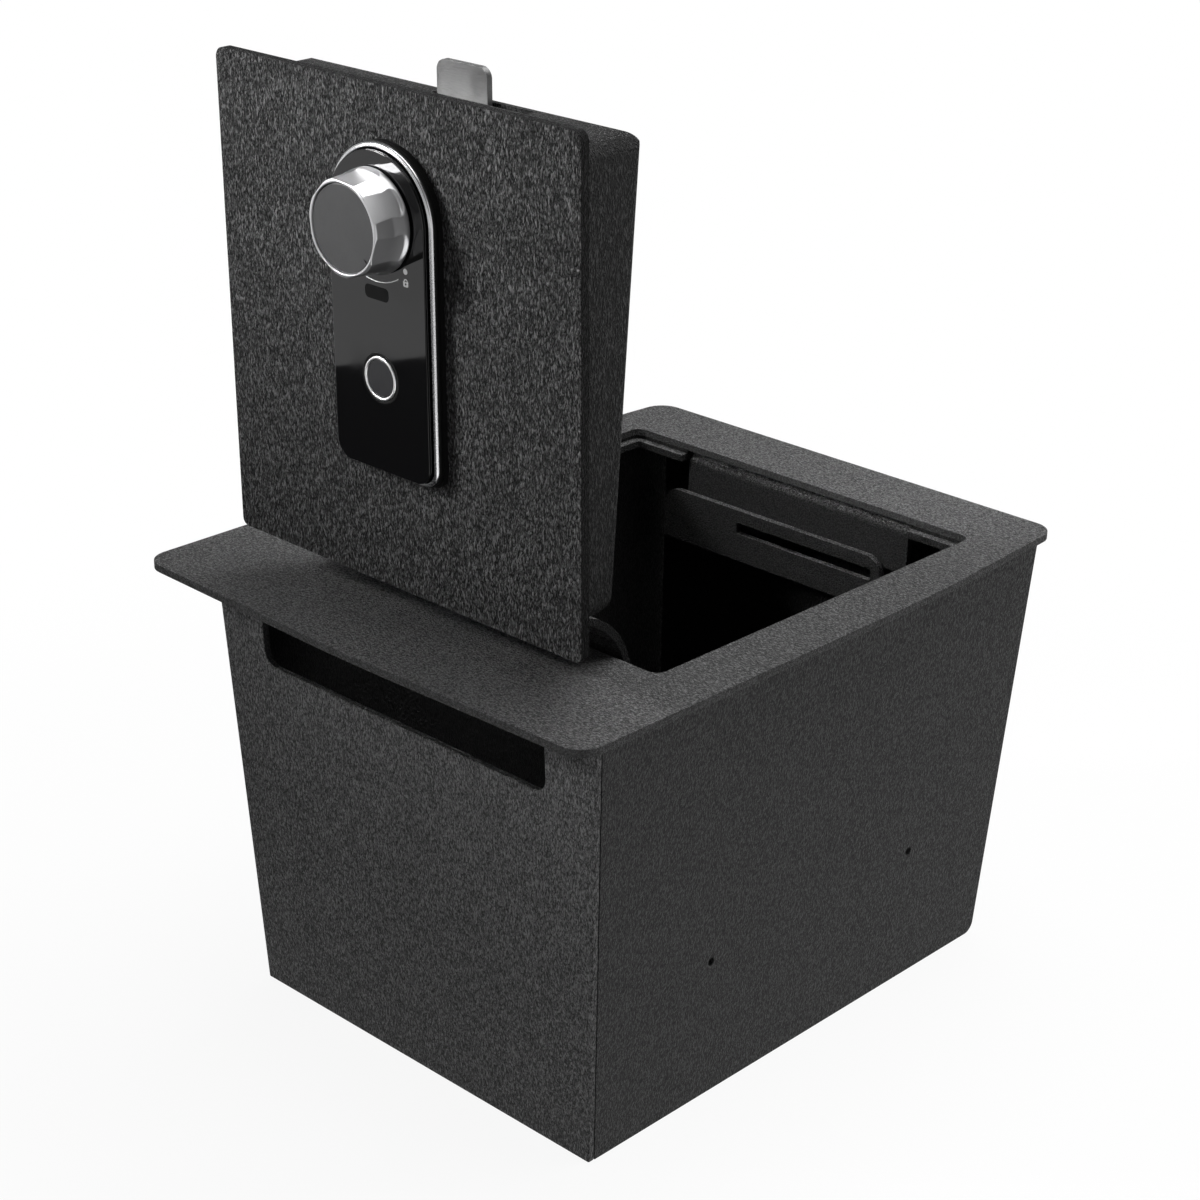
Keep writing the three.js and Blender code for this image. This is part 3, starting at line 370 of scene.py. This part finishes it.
def wrinkle_coat(name, crack, flake, depth, seed, stretch, fineness=1.0, gloss=0.35,
                 crack_width=0.085, grain_share=0.4, painted_side_shade=1.0, out="Z", painted_inner_shade=1.0):
    coat = Finish(name, crack, 0.6, specular=gloss)
    coat.place = coat.stretched(*(value * fineness for value in stretch))
    facing = coat.add("ShaderNodeNewGeometry").outputs["True Normal"]

    def folds(scale, shift):
        level = coat.noise(scale, seed + shift, 1.5, 0.3)
        off_middle = coat.math("ABSOLUTE", coat.math("SUBTRACT", level, middle_value))
        return coat.between(off_middle, 0.0, crack_width, 1.0, 0.0)

    fine_folds = coat.math("MULTIPLY", folds(fine_folds_per_metre, 3.7), 0.8)
    cracks = coat.math("MAXIMUM", folds(folds_per_metre, 0.0), fine_folds)
    gaps = coat.between(coat.noise(gaps_per_metre, seed + 8.1, 1.0), 0.34, 0.46)
    broken = coat.math("MULTIPLY", cracks, gaps)
    grain = coat.between(coat.noise(grains_per_metre, seed + 5.3, 1.5), 0.42, 0.6)
    cloud = coat.between(coat.noise(clouds_per_metre, seed + 2.2, 2.0), 0.3, 0.7, 0.85, 1.0)
    height = coat.math("SUBTRACT", coat.math("MULTIPLY", grain, grain_height), broken)

    flakes = coat.math("ADD", coat.math("MULTIPLY", grain, grain_share), 1 - grain_share)
    tone = coat.math("MULTIPLY", flakes, coat.math("SUBTRACT", 1.0, broken))
    tone = coat.math("MULTIPLY", tone, cloud)
    # Painted shade: faces turned away from `out` are darkened as if they stood in shade.
    if painted_side_shade < 1.0:
        lift = coat.add("ShaderNodeSeparateXYZ", links={0: facing}).outputs[out]
        side = coat.between(coat.math("ABSOLUTE", lift), 0.2, 0.95, painted_side_shade, 1.0)
        tone = coat.math("MULTIPLY", tone, side)
    # Painted shade: faces that look into the box are darkened to stand for the shade inside it.
    if painted_inner_shade < 1.0:
        from_middle = coat.add("ShaderNodeVectorMath", {1: (1, 1, 0)}, {0: coat.place}, operation="MULTIPLY")
        outward = coat.add("ShaderNodeVectorMath", links={0: facing, 1: from_middle.outputs[0]},
                           operation="DOT_PRODUCT").outputs["Value"]
        tone = coat.math("MULTIPLY", tone, coat.between(outward, -0.02, 0.02, painted_inner_shade, 1.0))

    coat.paint(coat.colors(tone, crack, flake))
    coat.shine(coat.between(height, -0.7, grain_height, crack_roughness, flake_roughness))
    coat.relief(height, depth)
    return coat.material


# %% [markdown]
# ## One coat for each part of the safe
#
# The real coat is the same everywhere. Here each group of sheets has its own version, because its colour and
# its relief were matched to the photograph under these lamps, group by group. So the colours differ more from
# sheet to sheet than real ones would. One coat with better matched lamps would be truer, and takes longer to
# find. On upright sheets the pattern is stretched upwards, and on the flange it runs across.

# %% Coats
upright = (1, 1, 0.4)
sideways = (0.6, 1, 1)
even = (1, 1, 1)

# The flake colours below are lit and shaded copies of one coat: their differences are painted light and shade,
# which make up for how the lamps and the room reach each group of sheets.
coat_walls = wrinkle_coat(
    "coat_walls", crack=(0.002, 0.002, 0.0021), flake=(0.0115, 0.0115, 0.0117), depth=0.0003, seed=1.0,
    stretch=upright, fineness=1.1, painted_inner_shade=0.0)
coat_hinge = wrinkle_coat(
    "coat_hinge_side", crack=(0.006, 0.006, 0.0062), flake=(0.15, 0.15, 0.151), depth=0.0005, seed=11.0,
    stretch=upright, fineness=1.1, painted_inner_shade=0.0)
coat_flange = wrinkle_coat(
    "coat_flange", crack=(0.012, 0.012, 0.0122), flake=(0.12, 0.12, 0.121), depth=0.0005, seed=17.0,
    stretch=sideways, painted_side_shade=0.25)
coat_lid = wrinkle_coat(
    "coat_lid", crack=(0.0002, 0.0002, 0.0002), flake=(0.14, 0.14, 0.141), depth=0.0013, seed=21.0,
    stretch=upright, gloss=0.15, crack_width=0.12, grain_share=0.6, painted_side_shade=0.02, out="Y")
coat_tray = wrinkle_coat(
    "coat_tray", crack=(0.0005, 0.0005, 0.0005), flake=(0.03, 0.03, 0.0303), depth=0.0008, seed=31.0,
    stretch=upright, gloss=0.25, crack_width=0.12, grain_share=0.6)
coat_inside = wrinkle_coat(
    "coat_inside", crack=(0.001, 0.001, 0.001), flake=(0.18, 0.18, 0.18), depth=0.0006, seed=41.0,
    stretch=even, gloss=0.25, painted_side_shade=0.07)
print("coats:", [name for name in bpy.data.materials.keys() if name.startswith("coat")])

# %% [markdown]
# ## Metals
#
# The cam is dull steel, the hinge rod and the screws are zinc plated, and the knob is satin. Each has a fine
# grain that runs one way. On the knob it runs round the axis, because the grip was turned on a lathe.

# %% Worked steel
brush_depth = 0.00003


def worked_steel(name, color, roughness, stretch):
    steel = Finish(name, color, roughness, metallic=1.0)
    streaks = steel.noise(1.0, 3.0, 3.0, place=steel.stretched(*stretch))
    stains = steel.noise(120, 8.0, 3.0)
    darker = tuple(value * 0.72 for value in color)
    steel.paint(steel.colors(steel.between(stains, 0.35, 0.7), color, darker))
    steel.shine(steel.between(streaks, 0.3, 0.7, roughness * 0.8, roughness * 1.25))
    steel.relief(streaks, brush_depth, 0.5)
    return steel.material


zinc = worked_steel("zinc_plate", (0.5, 0.5, 0.49), 0.36, stretch=(900, 900, 900))
cam_steel = worked_steel("cam_steel", (0.15, 0.15, 0.15), 0.5, stretch=(300, 2200, 2200))
print("worked steel:", zinc.name, cam_steel.name)

# %% Turned metal
lathe_lines_per_metre = 2600


def turned_metal(name, color, roughness, depth):
    metal = Finish(name, color, roughness, metallic=1.0)
    flat = metal.add("ShaderNodeVectorMath", {1: (1, 1, 0)}, {0: metal.place}, operation="MULTIPLY")
    radius = metal.add("ShaderNodeVectorMath", links={0: flat.outputs[0]},
                       operation="LENGTH").outputs["Value"]
    out = metal.add("ShaderNodeSeparateXYZ", links={0: metal.place}).outputs["Z"]
    rings = metal.add("ShaderNodeCombineXYZ", links={"X": radius, "Y": out}).outputs[0]
    lines = metal.noise(lathe_lines_per_metre, 2.0, 2.0, place=rings)
    metal.paint(metal.colors(lines, color, tuple(value * 0.93 for value in color)))
    metal.shine(metal.between(lines, 0.3, 0.7, roughness * 0.93, roughness * 1.07))
    metal.relief(lines, depth, 0.2)
    return metal.material


satin = turned_metal("satin_knob", (0.55, 0.55, 0.56), 0.37, depth=0.00001)
chrome = turned_metal("chrome_trim", (0.6, 0.6, 0.61), 0.27, depth=0.000005)
bright_ring = turned_metal("bright_ring", (0.9, 0.9, 0.9), 0.36, depth=0.000005)
print("turned metal:", satin.name, chrome.name, bright_ring.name)

# %% [markdown]
# ## The lock's black face and the plastics
#
# The face is a polished black plate. Real ones are never perfect, so a faint haze varies its roughness. The
# plastics are moulded, with a very fine even grain.

# %% Lock finishes
dust_grey = (0.03, 0.03, 0.03)


def polished_black(name, color, roughness, specular):
    face = Finish(name, color, roughness, specular=specular)
    haze = face.noise(45, 4.0, 4.0)
    dust = face.between(face.noise(2600, 7.0, 1.0), 0.74, 0.8)
    face.paint(face.colors(dust, color, dust_grey))
    face.shine(face.math("ADD", face.between(haze, 0.35, 0.7, roughness, roughness + 0.05),
                         face.math("MULTIPLY", dust, 0.2)))
    return face.material


def moulded(name, color, light, roughness, grain=2400, specular=0.35):
    plastic = Finish(name, color, roughness, specular=specular)
    speckle = plastic.noise(grain, 1.0, 3.0)
    plastic.paint(plastic.colors(plastic.between(speckle, 0.3, 0.7), color, light))
    wear = plastic.between(plastic.noise(200, 2.0), 0.3, 0.7, roughness * 0.85, roughness * 1.15)
    plastic.shine(wear)
    plastic.relief(speckle, 0.00004, 0.5)
    return plastic.material


glass = polished_black("black_face", (0.002, 0.002, 0.0022), 0.03, 0.42)
disc_grey = moulded("disc_grey", (0.021, 0.021, 0.0215), (0.03, 0.03, 0.031), 0.45, 3000, 0.4)
pad_grey = moulded("pad_grey", (0.009, 0.009, 0.01), (0.014, 0.014, 0.0155), 0.32, 3000)
insert_black = moulded("insert_black", (0.001, 0.001, 0.001), (0.003, 0.003, 0.003), 0.6, specular=0.06)
seat_black = moulded("seat_black", (0.0015, 0.0015, 0.0015), (0.003, 0.003, 0.003), 0.6, specular=0.12)
mark_white = moulded("mark_white", (0.8, 0.8, 0.8), (0.9, 0.9, 0.9), 0.5)
board_green = moulded("board_green", (0.012, 0.06, 0.025), (0.02, 0.085, 0.035), 0.4, 700)
cell_jacket = moulded("cell_jacket", (0.02, 0.02, 0.022), (0.05, 0.035, 0.012), 0.3, 300)
print("finishes:", len(bpy.data.materials))

# %% [markdown]
# ## Dressing the solids
#
# The solids have knife-sharp edges. A real sheet edge is slightly round and catches a thin line of light, so
# each solid gets modifiers instead of a new mesh: the corners are welded and shaded smoothly, and the edges are
# rounded by a fraction of a millimetre. The mesh itself stays as it was packed.

# %% Edges
weld_distance = 0.00001
sharp_from = math.radians(32)

shade_kit = bpy.data.node_groups.new("even_shading", "GeometryNodeTree")
shade_kit.interface.new_socket("Geometry", in_out="INPUT", socket_type="NodeSocketGeometry")
shade_kit.interface.new_socket("Geometry", in_out="OUTPUT", socket_type="NodeSocketGeometry")
kit_in = shade_kit.nodes.new("NodeGroupInput")
kit_out = shade_kit.nodes.new("NodeGroupOutput")
bare = shade_kit.nodes.new("GeometryNodeRemoveAttribute")
bare.inputs["Name"].default_value = "custom_normal"
merge = shade_kit.nodes.new("GeometryNodeMergeByDistance")
merge.inputs["Distance"].default_value = weld_distance
soften = shade_kit.nodes.new("GeometryNodeSetShadeSmooth")
wire(shade_kit, (
    (kit_in.outputs[0], bare.inputs["Geometry"]),
    (bare.outputs["Geometry"], merge.inputs["Geometry"]),
    (merge.outputs["Geometry"], soften.inputs["Geometry"]),
    (soften.outputs["Geometry"], kit_out.inputs[0]),
))


def round_edges(piece, width):
    welded = piece.modifiers.new("weld", "NODES")
    welded.node_group = shade_kit
    bevel = piece.modifiers.new("edge_round", "BEVEL")
    bevel.width = width
    bevel.segments = 2
    bevel.limit_method = "ANGLE"
    bevel.angle_limit = sharp_from
    bevel.use_clamp_overlap = True
    bevel.loop_slide = False
    bevel.harden_normals = True
    bevel.miter_outer = "MITER_ARC"


# %% [markdown]
# ## Which solid gets which finish
#
# Each line names the solids that share a finish, and how far their edges are rounded. The solids that aren't
# named here are the ones that a finer piece replaces below.

# %% Dress the solids


def dress(names, material, edge):
    for name in names.split():
        piece = solids[name]
        piece.data.materials.clear()
        piece.data.materials.append(material)
        round_edges(piece, edge)
    print(material.name, "on", names)


dress("floor_latch_plate wall_left wall_right", coat_walls, 0.0005)
dress("wall_hinge_side", coat_hinge, 0.0005)
dress("top_flange", coat_flange, 0.0005)
dress("seat_rail_left seat_rail_right keeper_hanger keeper_slot_plate", coat_inside, 0.0006)
dress("hinge_bracket_left hinge_bracket_right hinge_leaf", coat_inside, 0.0005)
dress("lid_plate", coat_lid, 0.0005)
dress("lid_tray battery_cover", coat_tray, 0.0005)
dress("hinge_rod rod_clip_left rod_clip_right spindle cam_nut solenoid lock_chassis", zinc, 0.0002)
dress("lock_screw_1 lock_screw_2 battery_cover_screw_1 battery_cover_screw_2 blocking_pin", zinc, 0.0002)
dress("cam_tongue", cam_steel, 0.0005)
dress("lock_housing", seat_black, 0.0003)
dress("knob_cap", disc_grey, 0.0002)
dress("battery_holder", insert_black, 0.0002)
dress("circuit_board", board_green, 0.0002)
dress("battery_1 battery_2 battery_3 battery_4", cell_jacket, 0.0004)

# %% [markdown]
# ## The lid's own coordinates
#
# The lock's small pieces are easier to draw on the lid than in the room: X across the lid, Y up it, Z out of
# its face, all from the knob's centre. The knob's joint gives that centre and axis.

# %% Lid coordinates
turn = next(joint for joint in frame["joints"] if joint["name"] == "knob_turn")
centre = Vector(turn["pos_m"])
out = -Vector(turn["axis"]).normalized()
across = Vector((1, 0, 0))
up = out.cross(across)
on_lid = Matrix((
    (across.x, up.x, out.x, centre.x),
    (across.y, up.y, out.y, centre.y),
    (across.z, up.z, out.z, centre.z),
    (0, 0, 0, 1),
))
print("knob's centre", [round(value, 4) for value in centre])

# %% [markdown]
# ## New pieces
#
# A new piece is a list of points and faces with a material. It is told which body it rides on, so that it
# moves with the lid or the knob.

# %% Pieces on the lid


def make_piece(name, points, faces, material, body, smooth=True):
    """A new piece from points in millimetres on the lid, riding on a body of the frame."""
    mesh = bpy.data.meshes.new(name)
    mesh.from_pydata([tuple(value / 1000 for value in point) for point in points], [], faces)
    mesh.materials.append(material)
    mesh.polygons.foreach_set("use_smooth", [smooth] * len(mesh.polygons))
    mesh.update()
    piece = bpy.data.objects.new(name, mesh)
    bpy.context.scene.collection.objects.link(piece)
    piece.matrix_world = on_lid
    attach(piece, body)
    print(name, len(mesh.polygons), "faces")
    return piece


# %% [markdown]
# ## Turned pieces
#
# The collar, the sensor's ring, its pad and its seat are plain turned shapes. Their section is a closed loop of
# radius and height, copied round the axis. Each corner of a section is given twice, a little apart, so smooth
# shading keeps the edge crisp without a modifier.

# %% Turned pieces


def turned(name, section, middle, material, body, steps=144, reach=None):
    count = len(section)
    points = []
    for step in range(steps):
        angle = 2 * math.pi * step / steps
        for radius, height in section:
            real = reach(angle, radius, height) if reach else radius
            points.append((middle[0] + real * math.cos(angle), middle[1] + real * math.sin(angle), height))
    faces = []
    for step in range(steps):
        here = step * count
        there = ((step + 1) % steps) * count
        for index in range(count):
            ahead = (index + 1) % count
            faces.append((here + index, there + index, there + ahead, here + ahead))
    return make_piece(name, points, faces, material, body)


def crisp(corners, edge=0.12):
    """Each corner of a closed section as two points, one on either side of it."""
    section = []
    for index, corner in enumerate(corners):
        here = Vector(corner)
        for other in (corners[index - 1], corners[(index + 1) % len(corners)]):
            toward = Vector(other) - here
            step = min(edge, toward.length * 0.4)
            section.append(tuple(here + toward.normalized() * step))
    return section


# %% Sensor and collar
glass_top = 7.0
sensor_at = (0.3, -57.2)
ring_section = crisp([(7.0, 6.9), (8.1, 6.9), (8.1, 7.35), (7.85, 7.6), (7.3, 7.6), (7.0, 7.35)], 0.05)
ring = turned("sensor_ring_fine", ring_section, sensor_at, bright_ring, "lid")
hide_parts("sensor_ring")

pad_section = [(0.01, 6.6), (6.85, 6.6), (6.95, 6.7), (6.95, 7.0), (6.85, 7.1), (6.7, 7.15), (6.6, 7.15),
               (0.05, 7.15), (0.01, 7.15)]
pad = turned("sensor_pad_fine", pad_section, sensor_at, pad_grey, "lid")
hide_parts("sensor_pad")

seat_section = crisp([(8.15, 6.9), (9.4, 6.9), (9.4, 7.04), (9.3, 7.08), (8.15, 7.08)], 0.03)
turned("sensor_seat", seat_section, sensor_at, seat_black, "lid")

collar_section = crisp([(4.4, 7.02), (18.2, 7.02), (18.2, 7.3), (18.0, 7.4), (4.4, 7.4)], 0.05)
collar = turned("knob_collar_fine", collar_section, (0, 0), seat_black, "lid")
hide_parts("knob_collar")

# %% [markdown]
# ## The black plate and its chrome trim
#
# The black plate stands a little proud of a rounded chrome trim, with a dark gap between them. Seen from the
# right, the trim shows as a bright band round the top and the right side, and the plate hides it on the left.
# All of them follow one outline, round at the top, so a section is swept along that outline, drawn inwards.

# %% The lock's outline
plate_foot = -93.9
outer_half = 26.9
corner = 8.0


def angles_to(end, step):
    return [math.radians(angle) for angle in range(0, end + 1, step)]


def lock_outline(inset):
    """The lock's outline, drawn inwards by the inset: a half circle, straight sides and a rounded foot."""
    half = outer_half - inset
    foot = plate_foot + inset * 0.7
    radius = max(corner - inset / 2, 1.0)
    top = [(half * math.cos(angle), half * math.sin(angle)) for angle in angles_to(180, 3)]
    left = [(-half + radius - radius * math.cos(angle), foot + radius - radius * math.sin(angle))
            for angle in angles_to(90, 9)]
    right = [(-x, y) for x, y in reversed(left)]
    return top + left + right


def swept(name, section, material, capped=False):
    """A section of inset and height, swept along the lock's outline.

    The section of a trim is a closed loop. A capped one is open, and a flat face closes each of its ends.
    """
    loops = [[(x, y, height) for x, y in lock_outline(inset)] for inset, height in section]
    steps = len(loops[0])
    points = [point for loop in loops for point in loop]
    last = (len(loops) - 1) * steps
    starts = list(range(0, last, steps))
    spans = list(zip(starts, starts[1:] + [last]))
    faces = []
    if capped:
        faces = [tuple(reversed(range(steps))), tuple(range(last, last + steps))]
    else:
        spans.append((last, 0))
    for here, ahead in spans:
        for step in range(steps):
            beside = (step + 1) % steps
            faces.append((here + step, here + beside, ahead + beside, ahead + step))
    return make_piece(name, points, faces, material, "lid")


print("outline:", len(lock_outline(0)), "points")

# %% Plate and trim
trim_section = [(0.45, 3.9), (0.4, 4.2), (0.46, 4.45), (0.65, 4.72), (0.95, 4.95), (1.2, 5.1), (1.5, 5.2),
                (1.8, 5.25), (1.9, 5.2), (1.9, 3.9)]
trim = swept("lock_bezel_fine", trim_section, chrome)
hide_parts("lock_bezel")

rim_section = crisp([(0.0, 2.25), (0.0, 4.0), (0.3, 4.15), (3.2, 4.15), (3.2, 2.25)], 0.05)
swept("lock_rim", rim_section, seat_black)

plate_section = [(2.6, 3.95), (2.55, 4.0), (2.55, 6.75), (2.6, 6.9), (2.7, 6.98), (2.85, glass_top),
                 (2.95, glass_top)]
black_plate = swept("lock_glass_fine", plate_section, glass, capped=True)
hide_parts("lock_glass")

# %% [markdown]
# ## The knob's grip
#
# The grip is the piece that the eye goes to. It was turned with a flared skirt, and then seven flats were
# milled from the front. Each leans out with the taper and ends near the base in a crescent-shaped ledge. A cut
# with so soft an edge is easiest as a rule for the radius: at each angle and height the surface lies on the
# turned form or on the flat, whichever is nearer the axis, and on the ledge it passes from one to the other.

# %% Knob grip
flats = 7
first_flat = math.radians(84.7)
flat_reach = 16.45
flat_draft = 0.11
flat_half = 6.3
ledge_low = 7.9
ledge_rise = 3.6
ledge_slope = 1.6
bore = 4.4
knob_foot = 7.6
skirt_top = 8.1
rim_start = 21.2
front = 22.0
milled_outside = 15.9
side_steps = 76


def smooth_step(value):
    value = min(max(value, 0.0), 1.0)
    return value * value * (3 - 2 * value)


def turned_radius(height):
    """The turned form's radius between its foot and the front rim."""
    knots = [(skirt_top, 18.8), (9.0, 18.75), (10.0, 18.6), (11.2, 18.4), (14.2, 17.9), (rim_start, 17.3)]
    for (low, first), (high, second) in zip(knots, knots[1:]):
        if height <= high:
            return first + (second - first) * (height - low) / (high - low)
    return knots[-1][1]


def milled_radius(angle, radius, height):
    if radius < milled_outside:
        return radius
    pitch = 2 * math.pi / flats
    turn_to_flat = (angle - first_flat + pitch / 2) % pitch - pitch / 2
    distance = flat_reach + flat_draft * (front - height)
    share = min(abs(distance * math.tan(turn_to_flat)) / flat_half, 1.0)
    ledge = ledge_low + ledge_rise * (1 - math.sqrt(1 - share * share))
    flat = distance / math.cos(turn_to_flat)
    return radius + (min(radius, flat) - radius) * smooth_step((height - ledge) / ledge_slope)


heights = [skirt_top + (rim_start - skirt_top) * step / side_steps for step in range(1, side_steps + 1)]
side = [(turned_radius(height), height) for height in heights]
skirt = [(bore, knob_foot), (18.3, knob_foot), (18.6, 7.7), (18.75, 7.9), (18.8, skirt_top)]
rim = [(17.2, 21.55), (17.0, 21.8), (16.7, 21.95), (16.4, front), (16.0, front), (15.88, 21.95),
       (15.85, 21.8), (15.85, 20.35), (bore, 20.3)]
grip = turned("knob_grip_fine", skirt + side + rim, (0, 0), satin, "knob", steps=560,
              reach=milled_radius)
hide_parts("knob_grip")

# %% [markdown]
# ## Marks on the lock
#
# The black face has a short white arc under the knob, a dot for the open place and a small padlock for the
# locked one. They are printed flush, so each is a slab a few hundredths of a millimetre high, and so is the
# dark window of the port below them. The knob's disc has a little notch that points at the marks.

# %% Flat outlines


def slab(name, outlines, low, high, material, body):
    """Flat outlines in millimetres on the lid, each given some height."""
    points = []
    faces = []
    for outline in outlines:
        first = len(points)
        count = len(outline)
        points += [(x, y, low) for x, y in outline] + [(x, y, high) for x, y in outline]
        faces.append(tuple(first + index for index in reversed(range(count))))
        faces.append(tuple(first + count + index for index in range(count)))
        for index in range(count):
            ahead = (index + 1) % count
            faces.append((first + index, first + ahead, first + count + ahead, first + count + index))
    return make_piece(name, points, faces, material, body, smooth=False)


def arc(radius, start, end, steps, middle=(0, 0)):
    angles = [math.radians(start + (end - start) * step / steps) for step in range(steps + 1)]
    return [(middle[0] + radius * math.cos(angle), middle[1] + radius * math.sin(angle)) for angle in angles]


def band(radius, width, start, end, steps, middle=(0, 0)):
    outer = arc(radius + width / 2, start, end, steps, middle)
    inner = arc(radius - width / 2, end, start, steps, middle)
    return outer + inner


# %% Marks and port
print_base = glass_top - 0.05
print_top = glass_top + 0.03
padlock_at = (14.9, -19.4)
port_at = (-0.3, -26.0)

dial = band(21.75, 0.3, 246, 301, 20)
slab("dial_arc", [dial], print_base, print_top, mark_white, "lid")
dot = arc(1.05, 0, 345, 23, (14.85, -15.2))
slab("mark_dot", [dot], print_base, print_top, mark_white, "lid")

shackle = band(0.85, 0.4, 0, 180, 10, (padlock_at[0], padlock_at[1] + 0.6))
padlock_corners = ((-1.3, 0.6), (-1.3, -0.8), (-0.9, -1.25), (0.9, -1.25), (1.3, -0.8), (1.3, 0.6))
padlock = [(padlock_at[0] + x, padlock_at[1] + y) for x, y in padlock_corners]
slab("mark_padlock", [shackle, padlock], print_base, print_top, mark_white, "lid")
keyhole = arc(0.36, 0, 345, 23, (padlock_at[0], padlock_at[1] - 0.25))
slab("mark_keyhole", [keyhole], print_top - 0.01, print_top + 0.02, insert_black, "lid")

port_corners = [(4.3, 0.7, 0), (-4.3, 0.7, 90), (-4.3, -0.7, 180), (4.3, -0.7, 270)]
port = [point for x, y, start in port_corners
        for point in arc(1.8, start, start + 90, 8, (port_at[0] + x, port_at[1] + y))]
window = slab("port_cover_fine", [port], glass_top - 0.3, glass_top + 0.02, insert_black, "lid")
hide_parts("port_cover")

# %% Notch in the disc
# The notch isn't cut: a flat black slab stands for it, and its black is painted shade of the recess.
disc_top = 21.5
notch = [(10.6, -9.3), (11.6, -10.1), (11.9, -9.9), (11.4, -8.9), (10.1, -8.6)]
slab("knob_notch", [notch], disc_top - 0.05, disc_top + 0.03, insert_black, "knob")
